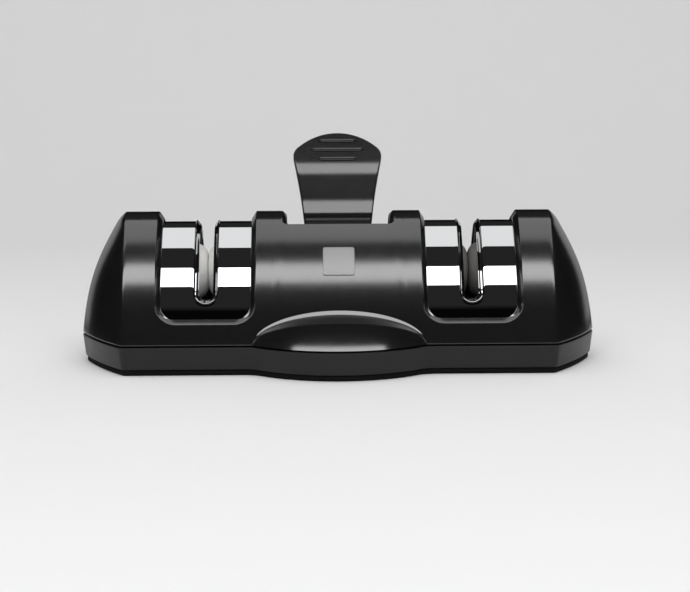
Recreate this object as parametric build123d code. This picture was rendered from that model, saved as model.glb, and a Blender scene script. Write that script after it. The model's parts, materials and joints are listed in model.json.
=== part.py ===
from build123d import *
import math
import os

# A two-stage roller knife sharpener on a suction foot that a swinging lever locks.
# Lengths are in millimetres and angles in degrees. The origin lies on the ground under the
# middle of the body, +X runs along the body, -Y is the front and +Z is up.

# Body: an arch that runs along X and ends in a rounded facet behind a crease.
crease_half_length = 65.5
end_bulge = 14.5
seam_half_depth = 27.0
seam_height = 9.0
seam_gap = 0.6
crest_height = 46.7
crest_radius = 12.5
shoulder_angle = 45.0
ridge_half_depth = 1.5
housing_wall = 3.0
bulkhead_wall = 2.5
bulkhead_bottom_height = 20.0
end_height_shares = (0, 0.22, 0.45, 0.67, 0.83, 0.93)
end_reach_share = 1.12
end_flank_radius_share = 3.5
end_tip_radius_share = 0.2
end_full_depth = 24.0
end_slim_share = 0.75

# Belly: the round bulge over the suction cup and the brow above it.
belly_radius = 37.5
belly_blend_radius = 8.0
brow_height = 19.2
brow_ledge = 1.1
brow_lean = 31.0
brow_place_shares = (0, 0.4, 0.7, 0.9, 0.985)
belly_shelf_share = 0.73
belly_shelf_drop_share = 0.125
belly_hollow_share = 0.037

# Saddle: the sloping gap in the crest that the lever swings through.
saddle_half_width = 15.85
saddle_front_drop = 2.9
saddle_back_drop = 16.7
saddle_corner_radius = 2.0
hump_chamfer = 0.9

# Windows, and the covers that fill them with a beaded knife slot.
station_share = 403 / 655
window_width = 27.2
window_bottom_height = 17.0
window_corner_radius = 5.0
window_chamfer = 1.5
cover_thickness = 1.0
cover_overlap = 1.2
cover_skirt = 2.5
slot_width = 4.4
slot_bottom_height = 22.0
bead_width = 1.35
bead_rise = 0.4

# Badge plate on the front, left blank.
badge_width = 9.6
badge_height = 8.2
badge_drop = 11.1
badge_thickness = 0.5
badge_rise = 0.1

# Cradles: the carriers under the covers that hold the axles.
cradle_half_length = 15.6
cradle_roof = 2.5
cradle_end_wall = 3.0
cradle_end_half_depth = 17.0
cradle_slot_spare = 0.6
cradle_foot_length = 7.0
cradle_foot_width = 9.0
cradle_foot_height = 8.0

# Abrasive discs on their axles.
axle_drop = 18.7
axle_radius = 1.5
axle_end_gap = 0.3
disc_radius = 8.8
disc_thickness = 6.0
disc_crown_place = 4.3
disc_groove_radius = 4.8
disc_gap = 0.1
spacer_wall = 1.0
spacer_play = 0.15
bush_wall = 1.7
bush_flange_lip = 1.0
bush_flange_thickness = 0.8

# Base, with a recess for the cup, a dome over it and a tongue that locates the housing.
pad_thickness = 1.8
pad_margin = 0.5
base_draft = 6.5
base_wall = 3.0
base_floor = 2.6
tongue_inset = 1.0
cup_ring_width = 4.5
web_bottom_height = 6.0
dome_radius = 20.5
dome_wall = 2.5
dome_seat_gap = 2.97

# Suction cup and the stud that lifts it.
cup_side_gap = 2.0
cup_lip_flat = 0.8
cup_lip_thickness = 1.0
cup_ground_gap = 0.35
cup_hollow_height = 3.4
cup_flank_height = 5.0
cup_hub_radius = 13.0
cup_hub_height = 8.6
backing_thickness = 1.4
spigot_radius = 2.5
stud_flange_radius = 8.0
stud_flange_thickness = 1.5
stud_radius = 4.0
stud_head_half_width = 4.1
stud_head_half_depth = 4.0
stud_head_rise = 4.2
stud_head_drop = 4.8
stud_bush_wall = 2.0
stud_bush_lip = 1.5
stud_bush_flange_thickness = 1.2

# Lever: two cams on a pin, a neck and a swept thumb blade with ribs.
pin_height = 30.0
pin_radius = 2.0
pin_end_length = 0.5
clip_width = 1.7
clip_thickness = 0.8
clip_play = 0.25
cam_radius = 6.5
cam_throw = 2.2
cam_half_swing = 42.0
cam_clearance = 0.1
cheek_gap = 0.4
lever_front_place = -3.2
lever_root_clearance = 4.3
lever_tip_height = 70.1
lever_sweep = 13.4
lever_thickness = 2.8
lever_thickness_drop = 1.2
lever_tip_radius = 1.2
lever_neck_half_width = 9.9
lever_corner_half_width = 14.1
lever_crown_rise = 5.8
lever_corner_radius = 1.8
lever_side_hollow = 0.6
lever_bend_shares = ((0, 0), (0, 0.225), (0.176, 0.361), (0.439, 0.623), (0.555, 0.715), (1, 1))
lever_bend_radius_share = 0.16
neck_spread_share = 0.9
rib_radius = 0.6
rib_half_lengths = (6.0, 8.2, 5.8)
rib_place_shares = (0.15, 0.45, 0.74)

# Plate that the cams press on.
seat_half_width = 15.2
seat_half_depth = 11.0
seat_thickness = 3.0
seat_stud_gap = 0.3
seat_screw_x = 12.4
seat_screw_y = 8.0
seat_post_radius = 2.8

# Screws, from the middle of the body.
base_screw_inset = 4.0
base_screw_y = 13.0
base_post_radius = 3.2
screw_shank_radius = 1.2
screw_head_radius = 2.3
screw_head_height = 1.4
screw_length = 9.0
seat_screw_length = 6.0
screw_recess_length = 2.4
screw_recess_width = 0.6
screw_recess_depth = 0.7

# Fits: radial for turning and sliding fits, fixed fits, and room for curved seats.
running_fit = 0.05
fixed_fit = 0.02
curved_seat_gap = 0.1
cut_overrun = 5.0

# Values that follow from the sizes above.
body_half_length = crease_half_length + end_bulge
housing_bottom = seam_height + seam_gap / 2
station_offset = station_share * crease_half_length
base_screw_x = crease_half_length - base_screw_inset
base_top = seam_height - seam_gap / 2
base_height = base_top - pad_thickness
floor_top = pad_thickness + base_floor
crest_centre_height = crest_height - crest_radius
saddle_front_height = crest_height - saddle_front_drop
saddle_back_height = crest_height - saddle_back_drop
badge_middle_height = saddle_front_height - badge_drop
axle_height = crest_height - axle_drop
cup_recess_radius = belly_radius - cup_ring_width
cup_lip_radius = cup_recess_radius - cup_side_gap
lever_root_height = pin_height + stud_head_rise + lever_root_clearance
lever_corner_height = lever_tip_height - lever_crown_rise
lever_bend_radius = lever_bend_radius_share * (lever_tip_height - lever_root_height)
shoulder_sine = math.sin(math.radians(shoulder_angle))
shoulder_cosine = math.cos(math.radians(shoulder_angle))
shoulder_depth = crest_radius * shoulder_sine
shoulder_height = crest_centre_height + crest_radius * shoulder_cosine
flank_run = seam_half_depth - shoulder_depth
flank_drop = shoulder_height - seam_height
flank_lean = flank_drop * shoulder_cosine - flank_run * shoulder_sine
flank_radius = (flank_run**2 + flank_drop**2) / (2 * flank_lean)
flank_centre_depth = shoulder_depth - flank_radius * shoulder_sine
flank_centre_height = shoulder_height - flank_radius * shoulder_cosine
cover_inset = housing_wall + curved_seat_gap
cover_half_length = window_width / 2 + window_chamfer + cover_overlap
cover_bottom = window_bottom_height - window_chamfer - cover_skirt
cradle_inset = cover_inset + cover_thickness + curved_seat_gap
cradle_screw_reach = cradle_half_length - cradle_foot_length / 2
cam_rise = cam_throw * math.sin(math.radians(cam_half_swing))
cam_centre = (cam_throw * math.cos(math.radians(cam_half_swing)), pin_height + cam_rise)
seat_top = pin_height - cam_radius + cam_rise - cam_clearance
seat_bottom = seat_top - seat_thickness
dome_top_height = seat_bottom - stud_bush_flange_thickness - dome_seat_gap
backing_top = cup_hub_height + backing_thickness
cheek_inner = stud_head_half_width + cheek_gap
bush_radius = axle_radius + running_fit + bush_wall
brow_half_width = math.sqrt(belly_radius**2 - seam_half_depth**2)
pin_half_length = lever_neck_half_width + clip_play + clip_thickness + pin_end_length


def half_depth(height, inset=0):
    """Half the depth of the arch at a height, for the arch moved inwards by inset."""
    if height > crest_centre_height + (crest_radius - inset) * shoulder_cosine:
        rise = min(height - crest_centre_height, crest_radius - inset)
        return math.sqrt((crest_radius - inset) ** 2 - rise**2)
    rise = height - flank_centre_height
    return flank_centre_depth + math.sqrt((flank_radius - inset) ** 2 - rise**2)


def arch_prism(inset, bottom, half_length):
    """The arch moved inwards by inset, from the height bottom up, centred on X."""
    depth = shoulder_depth - inset * shoulder_sine
    height = shoulder_height - inset * shoulder_cosine
    foot = half_depth(bottom, inset)
    crown = ThreePointArc((-depth, height), (0, crest_height - inset), (depth, height))
    back = TangentArc((depth, height), (foot, bottom), tangent=(shoulder_cosine, -shoulder_sine))
    floor = Line((foot, bottom), (-foot, bottom))
    front = TangentArc((-depth, height), (-foot, bottom), tangent=(-shoulder_cosine, -shoulder_sine))
    section = make_face([crown, back, floor, front])
    return extrude(Plane.YZ * section, amount=half_length, both=True)


def end_arcs(depth, reach):
    """The right end of the body's plan, slimmer near the crest, with its crease at X = 0: three arcs."""
    slim = 1 - end_slim_share * max(0, 1 - depth / end_full_depth) ** 2
    bulge = slim * depth * end_bulge / seam_half_depth
    tip_radius = slim * depth * end_tip_radius_share
    flank = depth * end_flank_radius_share
    tip_centre = bulge - tip_radius
    span = math.hypot(tip_centre, depth)
    along = (flank**2 - (flank - tip_radius) ** 2 + span**2) / (2 * span)
    away = math.sqrt(flank**2 - along**2)
    centre_x = (along * tip_centre - away * depth) / span
    centre_y = (along * depth + away * tip_centre) / span - depth
    last = math.atan2(-centre_y, tip_centre - centre_x)
    first = math.asin((-reach - centre_y) / flank)
    middle = (first + last) / 2
    start, halfway = [
        (centre_x + flank * math.cos(turn), centre_y + flank * math.sin(turn)) for turn in (first, middle)
    ]
    meet = (tip_centre + tip_radius * math.cos(last), tip_radius * math.sin(last))
    front = ThreePointArc(start, halfway, meet)
    tip = ThreePointArc(meet, (bulge, 0), (meet[0], -meet[1]))
    return start[0], [front, tip, mirror(front, Plane.XZ)]


def body_outline(depth, reach, crease):
    """A plan of the body: straight sides at a reach from the middle, and the two rounded ends."""
    past, arcs = end_arcs(depth, reach)
    corner = crease + past
    right = [Pos(crease) * arc for arc in arcs]
    left = [mirror(arc, Plane.YZ) for arc in right]
    front = Line((-corner, -reach), (corner, -reach))
    back = Line((corner, reach), (-corner, reach))
    return make_face([front, back, *right, *left])


def end_section(height, depth, inset):
    """Plan of the body at a height, with its sides past the arch so that they don't cut it."""
    plan = body_outline(depth, depth * end_reach_share, crease_half_length - inset)
    return Pos(0, 0, height) * plan


def housing_form(inset, bottom):
    """The whole arched body with its rounded ends, moved inwards by inset."""
    top = crest_height - inset
    sections = []
    for share in end_height_shares:
        height = bottom + share * (top - bottom)
        sections.append(end_section(height, half_depth(height, inset), inset))
    sections.append(end_section(top + housing_wall, ridge_half_depth, inset))
    return arch_prism(inset, bottom, body_half_length + cut_overrun) & loft(sections)


def through_cut(outline):
    """An XZ outline pushed right through the body along Y."""
    return extrude(Plane.XZ * outline, amount=belly_radius + cut_overrun, both=True)


def open_outline(width, bottom, corner_radius):
    """An XZ outline that is open upwards past the crest and has rounded lower corners."""
    height = crest_height + cut_overrun - bottom
    panel = Pos(0, bottom + height / 2) * Rectangle(width, height)
    return fillet(panel.vertices().sort_by(Axis.Y)[:2], corner_radius)


def slot_outline(width, bottom):
    """An XZ outline of a slot with a round lower end, open upwards past the crest."""
    height = crest_height + cut_overrun - bottom - width / 2
    column = Pos(0, bottom + width / 2 + height / 2) * Rectangle(width, height)
    return column + Pos(0, bottom + width / 2) * Circle(width / 2)


def upright(radius, bottom, top):
    """A cylinder along Z between two heights."""
    column = Cylinder(radius, top - bottom, align=(Align.CENTER, Align.CENTER, Align.MIN))
    return Pos(0, 0, bottom) * column


def rod(radius, start, end, height):
    """A cylinder along X between two places, at a height above the ground."""
    return Pos(0, 0, height) * Rot(0, 90, 0) * upright(radius, start, end)


def tube(outer_radius, inner_radius, start, end, height):
    """A tube along X between two places, at a height above the ground."""
    bore = rod(inner_radius, start - cut_overrun, end + cut_overrun, height)
    return rod(outer_radius, start, end, height) - bore


def block(length, depth, bottom, top):
    """A box between two heights, centred on the Z axis."""
    return Pos(0, 0, (bottom + top) / 2) * Box(length, depth, top - bottom)


def at_corners(shape, x, y):
    """Four copies of a shape at the corners of a rectangle."""
    return [Pos(side * x, way * y) * shape for side in (-1, 1) for way in (-1, 1)]


def screw(length):
    """A pan head screw that points up, with its head's lower face at the origin."""
    head = upright(screw_head_radius, 0, screw_head_height)
    shank = upright(screw_shank_radius, screw_head_height, screw_head_height + length)
    slot = Box(screw_recess_length, screw_recess_width, screw_recess_depth * 2)
    cross = Rot(0, 0, 90) * slot
    return head + shank - slot - cross


def screw_hole(length):
    """The room that a screw takes, open below its head."""
    head = upright(screw_head_radius + fixed_fit, -cut_overrun, screw_head_height + fixed_fit)
    return head + upright(screw_shank_radius + fixed_fit, 0, screw_head_height + length + fixed_fit)


def brow_section(place):
    """Section of the belly boss at a place along X, as a face in the YZ plane."""
    rise_share = math.sqrt(1 - (place / brow_half_width) ** 2)
    top = housing_bottom + (brow_height - housing_bottom) * rise_share
    ledge = brow_ledge * rise_share
    foot = math.sqrt(belly_radius**2 - place**2)
    under = top - ledge
    lip = half_depth(top) + ledge * math.tan(math.radians(brow_lean))
    inner_low = (-(half_depth(housing_bottom) - housing_wall / 2), housing_bottom)
    inner_high = (-(half_depth(top) - housing_wall / 2), top)
    crown = (-half_depth(top), top)
    edge = (-lip, under)
    outer_low = (-foot, housing_bottom)
    shelf_depth = lip + belly_shelf_share * (foot - lip)
    shelf_height = under - belly_shelf_drop_share * (under - housing_bottom)
    shelf_end = (-shelf_depth, shelf_height)
    middle_depth = (shelf_depth + foot) / 2 - belly_hollow_share * (shelf_height - housing_bottom)
    middle_height = (shelf_height + housing_bottom) / 2 - belly_hollow_share * (foot - shelf_depth)
    wall = Line(inner_low, inner_high)
    roof = Line(inner_high, crown)
    brow = Line(crown, edge)
    shelf = Line(edge, shelf_end)
    hollow = ThreePointArc(shelf_end, (-middle_depth, middle_height), outer_low)
    floor = Line(outer_low, inner_low)
    return Plane.YZ.offset(place) * make_face([wall, roof, brow, shelf, hollow, floor])


def belly_boss():
    """The boss at the middle of the front, from its brow down to the belly."""
    right = [share * brow_half_width for share in brow_place_shares]
    places = [-place for place in reversed(right[1:])] + right
    return loft([brow_section(place) for place in places])


def saddle_cut():
    """The wedge between the inner humps, over a floor that falls to the back."""
    front = -half_depth(saddle_front_height)
    back = half_depth(saddle_back_height)
    slope = (saddle_back_height - saddle_front_height) / (back - front)
    high = crest_height + cut_overrun
    fore = front - cut_overrun
    aft = back + cut_overrun
    low_front = (fore, saddle_front_height - slope * cut_overrun)
    low_back = (aft, saddle_back_height + slope * cut_overrun)
    wedge_face = make_face(Polyline(low_front, low_back, (aft, high), (fore, high), close=True))
    wedge = extrude(Plane.YZ * wedge_face, amount=saddle_half_width, both=True)
    floor_edges = wedge.faces().sort_by(Axis.Z)[0].edges().filter_by(GeomType.LINE)
    side_edges = [edge for edge in floor_edges if abs(edge.center().X) > saddle_half_width / 2]
    return fillet(side_edges, saddle_corner_radius)


def badge_layer(outer_inset, inner_inset, spare):
    """The part of a layer of the front wall that lies behind the badge's outline."""
    outer = arch_prism(outer_inset, housing_bottom, badge_width)
    inner = arch_prism(inner_inset, housing_bottom - cut_overrun, badge_width + cut_overrun)
    outline = Pos(0, badge_middle_height) * Rectangle(badge_width + spare, badge_height + spare)
    column = extrude(Plane.XZ * outline, amount=belly_radius)
    return (outer - inner) & column


def upper_housing():
    """The arched shell with windows, saddle, bulkheads, belly bosses and screw posts."""
    cavity = housing_form(housing_wall, housing_bottom - cut_overrun)
    shell = housing_form(0, housing_bottom) - cavity
    window = through_cut(open_outline(window_width, window_bottom_height, window_corner_radius))
    for side in (-1, 1):
        shell -= Pos(side * station_offset) * window
    shell = chamfer(window_edges(shell), window_chamfer)
    backing = housing_form(housing_wall / 2, housing_bottom)
    boss = belly_boss()
    shell += boss
    shell += mirror(boss, Plane.XZ)
    for side in (-1, 1):
        middle = side * (saddle_half_width + bulkhead_wall / 2)
        slab = block(bulkhead_wall, 2 * seam_half_depth, bulkhead_bottom_height, crest_height)
        shell += (Pos(middle) * slab) & backing
    shell -= saddle_cut()
    shell = chamfer(saddle_edges(shell), hump_chamfer)
    post = upright(base_post_radius, housing_bottom, crest_height)
    leg = upright(base_post_radius, floor_top, housing_bottom + housing_wall)
    for place in at_corners(post, base_screw_x, base_screw_y):
        shell += place & backing
    for place in at_corners(leg, base_screw_x, base_screw_y):
        shell += place
    bore = Pos(0, 0, pad_thickness) * screw_hole(screw_length)
    for place in at_corners(bore, base_screw_x, base_screw_y):
        shell -= place
    return shell - badge_layer(-cut_overrun, badge_thickness, 2 * fixed_fit)


def window_edges(shell):
    """The outer edges of both windows, which lie on the outer face of the arch."""
    reach = window_width / 2 + window_chamfer
    chosen = []
    for edge in shell.edges():
        middle = edge.position_at(0.5)
        beside = abs(abs(middle.X) - station_offset) < reach
        above = middle.Z > window_bottom_height - window_chamfer
        outside = abs(abs(middle.Y) - half_depth(middle.Z)) < housing_wall / 4
        if beside and above and outside:
            chosen.append(edge)
    return chosen


def saddle_edges(shell):
    """The edges where the sides of the saddle meet the outer face of the arch."""
    chosen = []
    for edge in shell.edges():
        middle = edge.position_at(0.5)
        beside = abs(abs(middle.X) - saddle_half_width) < fixed_fit
        outside = abs(abs(middle.Y) - half_depth(middle.Z)) < fixed_fit
        if beside and outside:
            chosen.append(edge)
    return chosen


def badge_plate():
    """The blank plate, let into the front wall."""
    return badge_layer(-badge_rise, badge_thickness - fixed_fit, 0)


def slot_cover():
    """A bent cover with a raised bead round its knife slot."""
    outer = arch_prism(cover_inset, cover_bottom, cover_half_length)
    inner_inset = cover_inset + cover_thickness
    inner = arch_prism(inner_inset, cover_bottom - cut_overrun, cover_half_length + cut_overrun)
    raised = arch_prism(cover_inset - bead_rise, cover_bottom, cover_half_length)
    bead = raised & through_cut(slot_outline(slot_width + 2 * bead_width, slot_bottom_height - bead_width))
    return outer + bead - inner - through_cut(slot_outline(slot_width, slot_bottom_height))


def cradle():
    """The carrier under a cover: a roof, two end walls with bush holes, and two screw feet."""
    roof = arch_prism(cradle_inset, housing_bottom + curved_seat_gap, cradle_half_length)
    inner_inset = cradle_inset + cradle_roof
    frame = roof - arch_prism(inner_inset, housing_bottom - cut_overrun, cradle_half_length + cut_overrun)
    wall = block(cradle_end_wall, 2 * cradle_end_half_depth, base_top, crest_height)
    wall = Pos(cradle_half_length - cradle_end_wall / 2) * wall
    end = wall & arch_prism(cradle_inset + cradle_roof / 2, base_top, cradle_half_length)
    foot = block(cradle_foot_length, cradle_foot_width, base_top, base_top + cradle_foot_height)
    end += Pos(cradle_screw_reach) * foot
    end -= rod(bush_radius + fixed_fit, 0, cradle_half_length + cut_overrun, axle_height)
    screw_top = web_bottom_height + screw_head_height + screw_length + fixed_fit
    end -= Pos(cradle_screw_reach) * upright(screw_shank_radius + fixed_fit, 0, screw_top)
    frame += end
    frame += mirror(end, Plane.YZ)
    slot = slot_outline(slot_width + 2 * cradle_slot_spare, slot_bottom_height - cradle_slot_spare)
    return frame - through_cut(slot)


def bushes():
    """The two plain bearings of an axle, each with its flange inside the cradle."""
    bore = axle_radius + running_fit
    wall_face = cradle_half_length - cradle_end_wall
    flange_face = wall_face - bush_flange_thickness
    right = tube(bush_radius, bore, wall_face, cradle_half_length, axle_height)
    right += tube(bush_radius + bush_flange_lip, bore, flange_face, wall_face, axle_height)
    return [mirror(right, Plane.YZ), right]


def axle():
    """The axle of a pair of discs."""
    half = cradle_half_length - axle_end_gap
    return rod(axle_radius, -half, half, axle_height)


def right_disc():
    """An abrasive disc whose round rim makes one side of the knife groove."""
    bore = axle_radius + fixed_fit
    inner = disc_gap / 2
    rim = disc_radius - (disc_thickness - disc_crown_place)
    crown = (disc_crown_place, disc_radius)
    face = Line((inner, bore), (inner, disc_groove_radius))
    groove = TangentArc(crown, (inner, disc_groove_radius), tangent=(-1, 0))
    edge = TangentArc(crown, (disc_thickness, rim), tangent=(1, 0))
    side = Line((disc_thickness, rim), (disc_thickness, bore))
    hole = Line((disc_thickness, bore), (inner, bore))
    profile = make_face([face, groove, edge, side, hole])
    return Pos(0, 0, axle_height) * revolve(Plane.XZ * profile, axis=Axis.X)


def spacers():
    """The sleeves between the discs and the bush flanges."""
    end = cradle_half_length - cradle_end_wall - bush_flange_thickness - spacer_play
    bore = axle_radius + fixed_fit
    right = tube(bore + spacer_wall, bore, disc_thickness, end, axle_height)
    return [mirror(right, Plane.YZ), right]


def body_plan(inset):
    """Plan of the base at the seam, moved inwards: the body's plan with the round belly blended in."""
    spread = end_bulge / seam_half_depth
    depth = seam_half_depth - inset
    crease = crease_half_length - inset * (math.hypot(1, spread) - spread)
    plan = body_outline(depth, depth, crease) + Circle(belly_radius - inset)
    inward = [point for point in plan.vertices() if abs(point.X) < crease - fixed_fit]
    return fillet(inward, belly_blend_radius + inset)


def base_lean():
    """How far the base's side leans in over its height."""
    return base_height * math.tan(math.radians(base_draft))


def base_shell():
    """The base: end bays, cup recess, dome, posts for the cam seat, tongue and screw holes."""
    inside = body_plan(base_wall)
    top = Pos(0, 0, base_top) * body_plan(0)
    foot = Pos(0, 0, base_top - base_height) * body_plan(base_lean())
    shell = loft([foot, top], ruled=True)
    bays = inside - Circle(cup_recess_radius + base_wall)
    shell -= extrude(Pos(0, 0, floor_top) * bays, amount=base_top)
    shell += upright(dome_radius, web_bottom_height, dome_top_height)
    shell -= upright(cup_recess_radius, 0, web_bottom_height)
    shell -= upright(dome_radius - dome_wall, 0, dome_top_height - dome_wall)
    tongue = body_plan(tongue_inset) - inside
    shell += extrude(Pos(0, 0, base_top) * tongue, amount=seam_gap)
    post = upright(seat_post_radius, dome_top_height, seat_bottom)
    for place in at_corners(post, seat_screw_x, seat_screw_y):
        shell += place
    shell -= upright(stud_radius + running_fit + stud_bush_wall + fixed_fit, 0, dome_top_height)
    for place in at_corners(seat_screw(True), seat_screw_x, seat_screw_y):
        shell -= place
    pillar = block(cradle_foot_length, cradle_foot_width, pad_thickness, base_top)
    for side in (-1, 1):
        shell += Pos(side * (station_offset + cradle_screw_reach)) * pillar
    bore = Pos(0, 0, pad_thickness) * screw_hole(screw_length)
    for place in at_corners(bore, base_screw_x, base_screw_y):
        shell -= place
    for place in cradle_screw_places(screw_hole(screw_length)):
        shell -= place
    return shell


def cradle_screw_places(shape):
    """Copies of a screw at the cradle feet: up from the pad outside, from the cup recess inside."""
    outer = Pos(station_offset + cradle_screw_reach, 0, pad_thickness) * shape
    inner = Pos(station_offset - cradle_screw_reach, 0, web_bottom_height) * shape
    return [mirror(outer, Plane.YZ), mirror(inner, Plane.YZ), inner, outer]


def foot_pad():
    """The rubber pad under the base, open round the suction cup."""
    plan = body_plan(base_lean() + pad_margin) - Circle(cup_recess_radius)
    return extrude(plan, amount=pad_thickness)


def seat_screw(as_hole):
    """A screw of the cam seat, head up and sunk flush, or the room that it takes."""
    shape = screw_hole(seat_screw_length) if as_hole else screw(seat_screw_length)
    return Pos(0, 0, seat_top) * Rot(180, 0, 0) * shape


def cam_seat_plate():
    """The plate on the base's posts that the cams press on."""
    plate = block(2 * seat_half_width, 2 * seat_half_depth, seat_bottom, seat_top)
    plate -= upright(stud_radius + seat_stud_gap, 0, crest_height)
    for place in at_corners(seat_screw(True), seat_screw_x, seat_screw_y):
        plate -= place
    return plate


def stud_bush():
    """The guide of the stud in the dome, with its flange on top."""
    bore = stud_radius + running_fit
    body = upright(bore + stud_bush_wall, dome_top_height - dome_wall, dome_top_height)
    flange_top = dome_top_height + stud_bush_flange_thickness
    flange = upright(bore + stud_bush_wall + stud_bush_lip, dome_top_height, flange_top)
    return body + flange - upright(bore, 0, crest_height)


def suction_cup():
    """The rubber cup: a thin lip, a sloping flank and a hub."""
    middle = (0, cup_hollow_height)
    lip = (cup_lip_radius - cup_lip_flat, cup_ground_gap)
    hollow = TangentArc(middle, lip, tangent=(1, 0))
    flank = Polyline(
        lip,
        (cup_lip_radius, cup_ground_gap),
        (cup_lip_radius, cup_ground_gap + cup_lip_thickness),
        (cup_hub_radius, cup_flank_height),
        (cup_hub_radius, cup_hub_height),
        (0, cup_hub_height),
        middle,
    )
    return revolve(Plane.XZ * make_face([hollow, *flank.edges()]), axis=Axis.Z)


def cup_backing_disc():
    """The stiff disc bonded to the cup's hub."""
    disc = upright(cup_hub_radius, cup_hub_height, backing_top)
    return disc - upright(spigot_radius + fixed_fit, 0, crest_height)


def cup_stud():
    """The stud from the cup up to the head that carries the lever's pin."""
    flange_top = backing_top + stud_flange_thickness
    head_bottom = pin_height - stud_head_drop
    stud = upright(spigot_radius, cup_hub_height, backing_top)
    stud += upright(stud_flange_radius, backing_top, flange_top)
    stud += upright(stud_radius, flange_top, head_bottom)
    head_top = pin_height + stud_head_rise
    stud += block(2 * stud_head_half_width, 2 * stud_head_half_depth, head_bottom, head_top)
    return stud - rod(pin_radius + fixed_fit, -pin_half_length, pin_half_length, pin_height)


def lever_pin():
    """The pin of the lever, held in the head of the stud."""
    return rod(pin_radius, -pin_half_length, pin_half_length, pin_height)


def pin_clips():
    """The clips that keep the lever on its pin."""
    start = lever_neck_half_width + clip_play
    right = tube(pin_radius + clip_width, pin_radius + fixed_fit, start, start + clip_thickness, pin_height)
    return [mirror(right, Plane.YZ), right]


def lever_point(bend):
    """A point of the blade's front face from its shares of the sweep and of the rise."""
    rise = lever_tip_height - lever_root_height
    return (lever_front_place + bend[0] * lever_sweep, lever_root_height + bend[1] * rise)


def lever_blade():
    """The blade: its bent side profile, cut to its outline as seen from the front."""
    front = [lever_point(bend) for bend in lever_bend_shares]
    back = [(y + lever_thickness, z - lever_thickness_drop) for y, z in front]
    profile = make_face(Polyline(*front, *reversed(back), close=True))
    ends = (front[0], back[0], front[-1], back[-1])
    bends = [v for v in profile.vertices() if not near_any(v, ends)]
    profile = fillet(bends, lever_bend_radius)
    tips = [v for v in profile.vertices() if near_any(v, (front[-1], back[-1]))]
    profile = fillet(tips, lever_tip_radius)
    sheet = extrude(Plane.YZ * profile, amount=lever_corner_half_width, both=True)
    return sheet & extrude(Plane.XZ * lever_outline(), amount=belly_radius, both=True)


def near_any(vertex, points):
    """Whether a vertex lies at one of the points."""
    return any(math.dist((vertex.X, vertex.Y), point) < fixed_fit for point in points)


def lever_outline():
    """The blade seen from the front: hollow sides that widen to a round top."""
    low = lever_root_height - lever_thickness_drop
    neck = lever_neck_half_width
    wide = lever_corner_half_width
    middle = ((neck + wide) / 2 - lever_side_hollow, (low + lever_corner_height) / 2)
    bottom = Line((-neck, low), (neck, low))
    right = ThreePointArc((neck, low), middle, (wide, lever_corner_height))
    top = ThreePointArc((wide, lever_corner_height), (0, lever_tip_height), (-wide, lever_corner_height))
    left = ThreePointArc((-wide, lever_corner_height), (-middle[0], middle[1]), (-neck, low))
    face = make_face([bottom, right, top, left])
    corners = [v for v in face.vertices() if v.Y > (low + lever_corner_height) / 2]
    return fillet(corners, lever_corner_radius)


def lever_ribs():
    """The three raised ribs across the thumb pad."""
    pad_low = lever_point(lever_bend_shares[-2])
    pad_high = lever_point(lever_bend_shares[-1])
    ribs = []
    for share, half in zip(rib_place_shares, rib_half_lengths):
        y = pad_low[0] + share * (pad_high[0] - pad_low[0])
        z = pad_low[1] + share * (pad_high[1] - pad_low[1])
        ribs.append(Pos(0, y) * rod(rib_radius, -half, half, z))
    return ribs


def lever_cheek():
    """The right cheek: a round cam off the pin's centre and the neck up to the blade."""
    spread = neck_spread_share * cam_radius
    neck_top = lever_root_height + lever_thickness
    neck = Polyline(
        (cam_centre[0] - spread, cam_centre[1]),
        (cam_centre[0] + spread, cam_centre[1]),
        (lever_front_place + lever_thickness, neck_top),
        (lever_front_place, neck_top),
        close=True,
    )
    face = make_face(neck) + Pos(*cam_centre) * Circle(cam_radius)
    cheek = extrude(Plane.YZ.offset(cheek_inner) * face, amount=lever_neck_half_width - cheek_inner)
    return cheek - rod(pin_radius + running_fit, 0, pin_half_length, pin_height)


def suction_lever():
    """The lever in one piece: blade, ribs and both cheeks."""
    cheek = lever_cheek()
    lever = lever_blade() + cheek + mirror(cheek, Plane.YZ)
    for rib in lever_ribs():
        lever += rib
    return lever


def at_station(shape, side):
    """A shape, or a list of shapes, moved to the left or right station."""
    if isinstance(shape, list):
        return [Pos(side * station_offset) * piece for piece in shape]
    return Pos(side * station_offset) * shape


def build_nodes():
    """Every sub-part by its name. A list is a group of separate solids."""
    base_screw = Pos(0, 0, pad_thickness) * screw(screw_length)
    nodes = {
        "upper_housing": upper_housing(),
        "base_shell": base_shell(),
        "foot_pad": foot_pad(),
        "badge_plate": badge_plate(),
        "cam_seat_plate": cam_seat_plate(),
        "stud_bush": stud_bush(),
        "suction_cup": suction_cup(),
        "cup_backing_disc": cup_backing_disc(),
        "cup_stud": cup_stud(),
        "lever_pin": lever_pin(),
        "pin_clips": pin_clips(),
        "suction_lever": suction_lever(),
        "base_screws": at_corners(base_screw, base_screw_x, base_screw_y),
        "cradle_screws": cradle_screw_places(screw(screw_length)),
        "cam_seat_screws": at_corners(seat_screw(False), seat_screw_x, seat_screw_y),
    }
    disc = right_disc()
    pieces = {
        "slot_cover": slot_cover(),
        "cradle": cradle(),
        "bushes": bushes(),
        "axle": axle(),
        "left_disc": mirror(disc, Plane.YZ),
        "right_disc": disc,
        "spacers": spacers(),
    }
    for side, grade in ((-1, "fine"), (1, "coarse")):
        for name, shape in pieces.items():
            nodes[f"{grade}_{name}"] = at_station(shape, side)
    return nodes


def write_parts():
    """Write one file for each sub-part."""
    os.makedirs("parts", exist_ok=True)
    for name, shape in build_nodes().items():
        whole = Compound(children=shape) if isinstance(shape, list) else shape
        export_step(whole, f"parts/{name}.step")


write_parts()
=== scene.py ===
import json
import math
from types import SimpleNamespace

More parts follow.
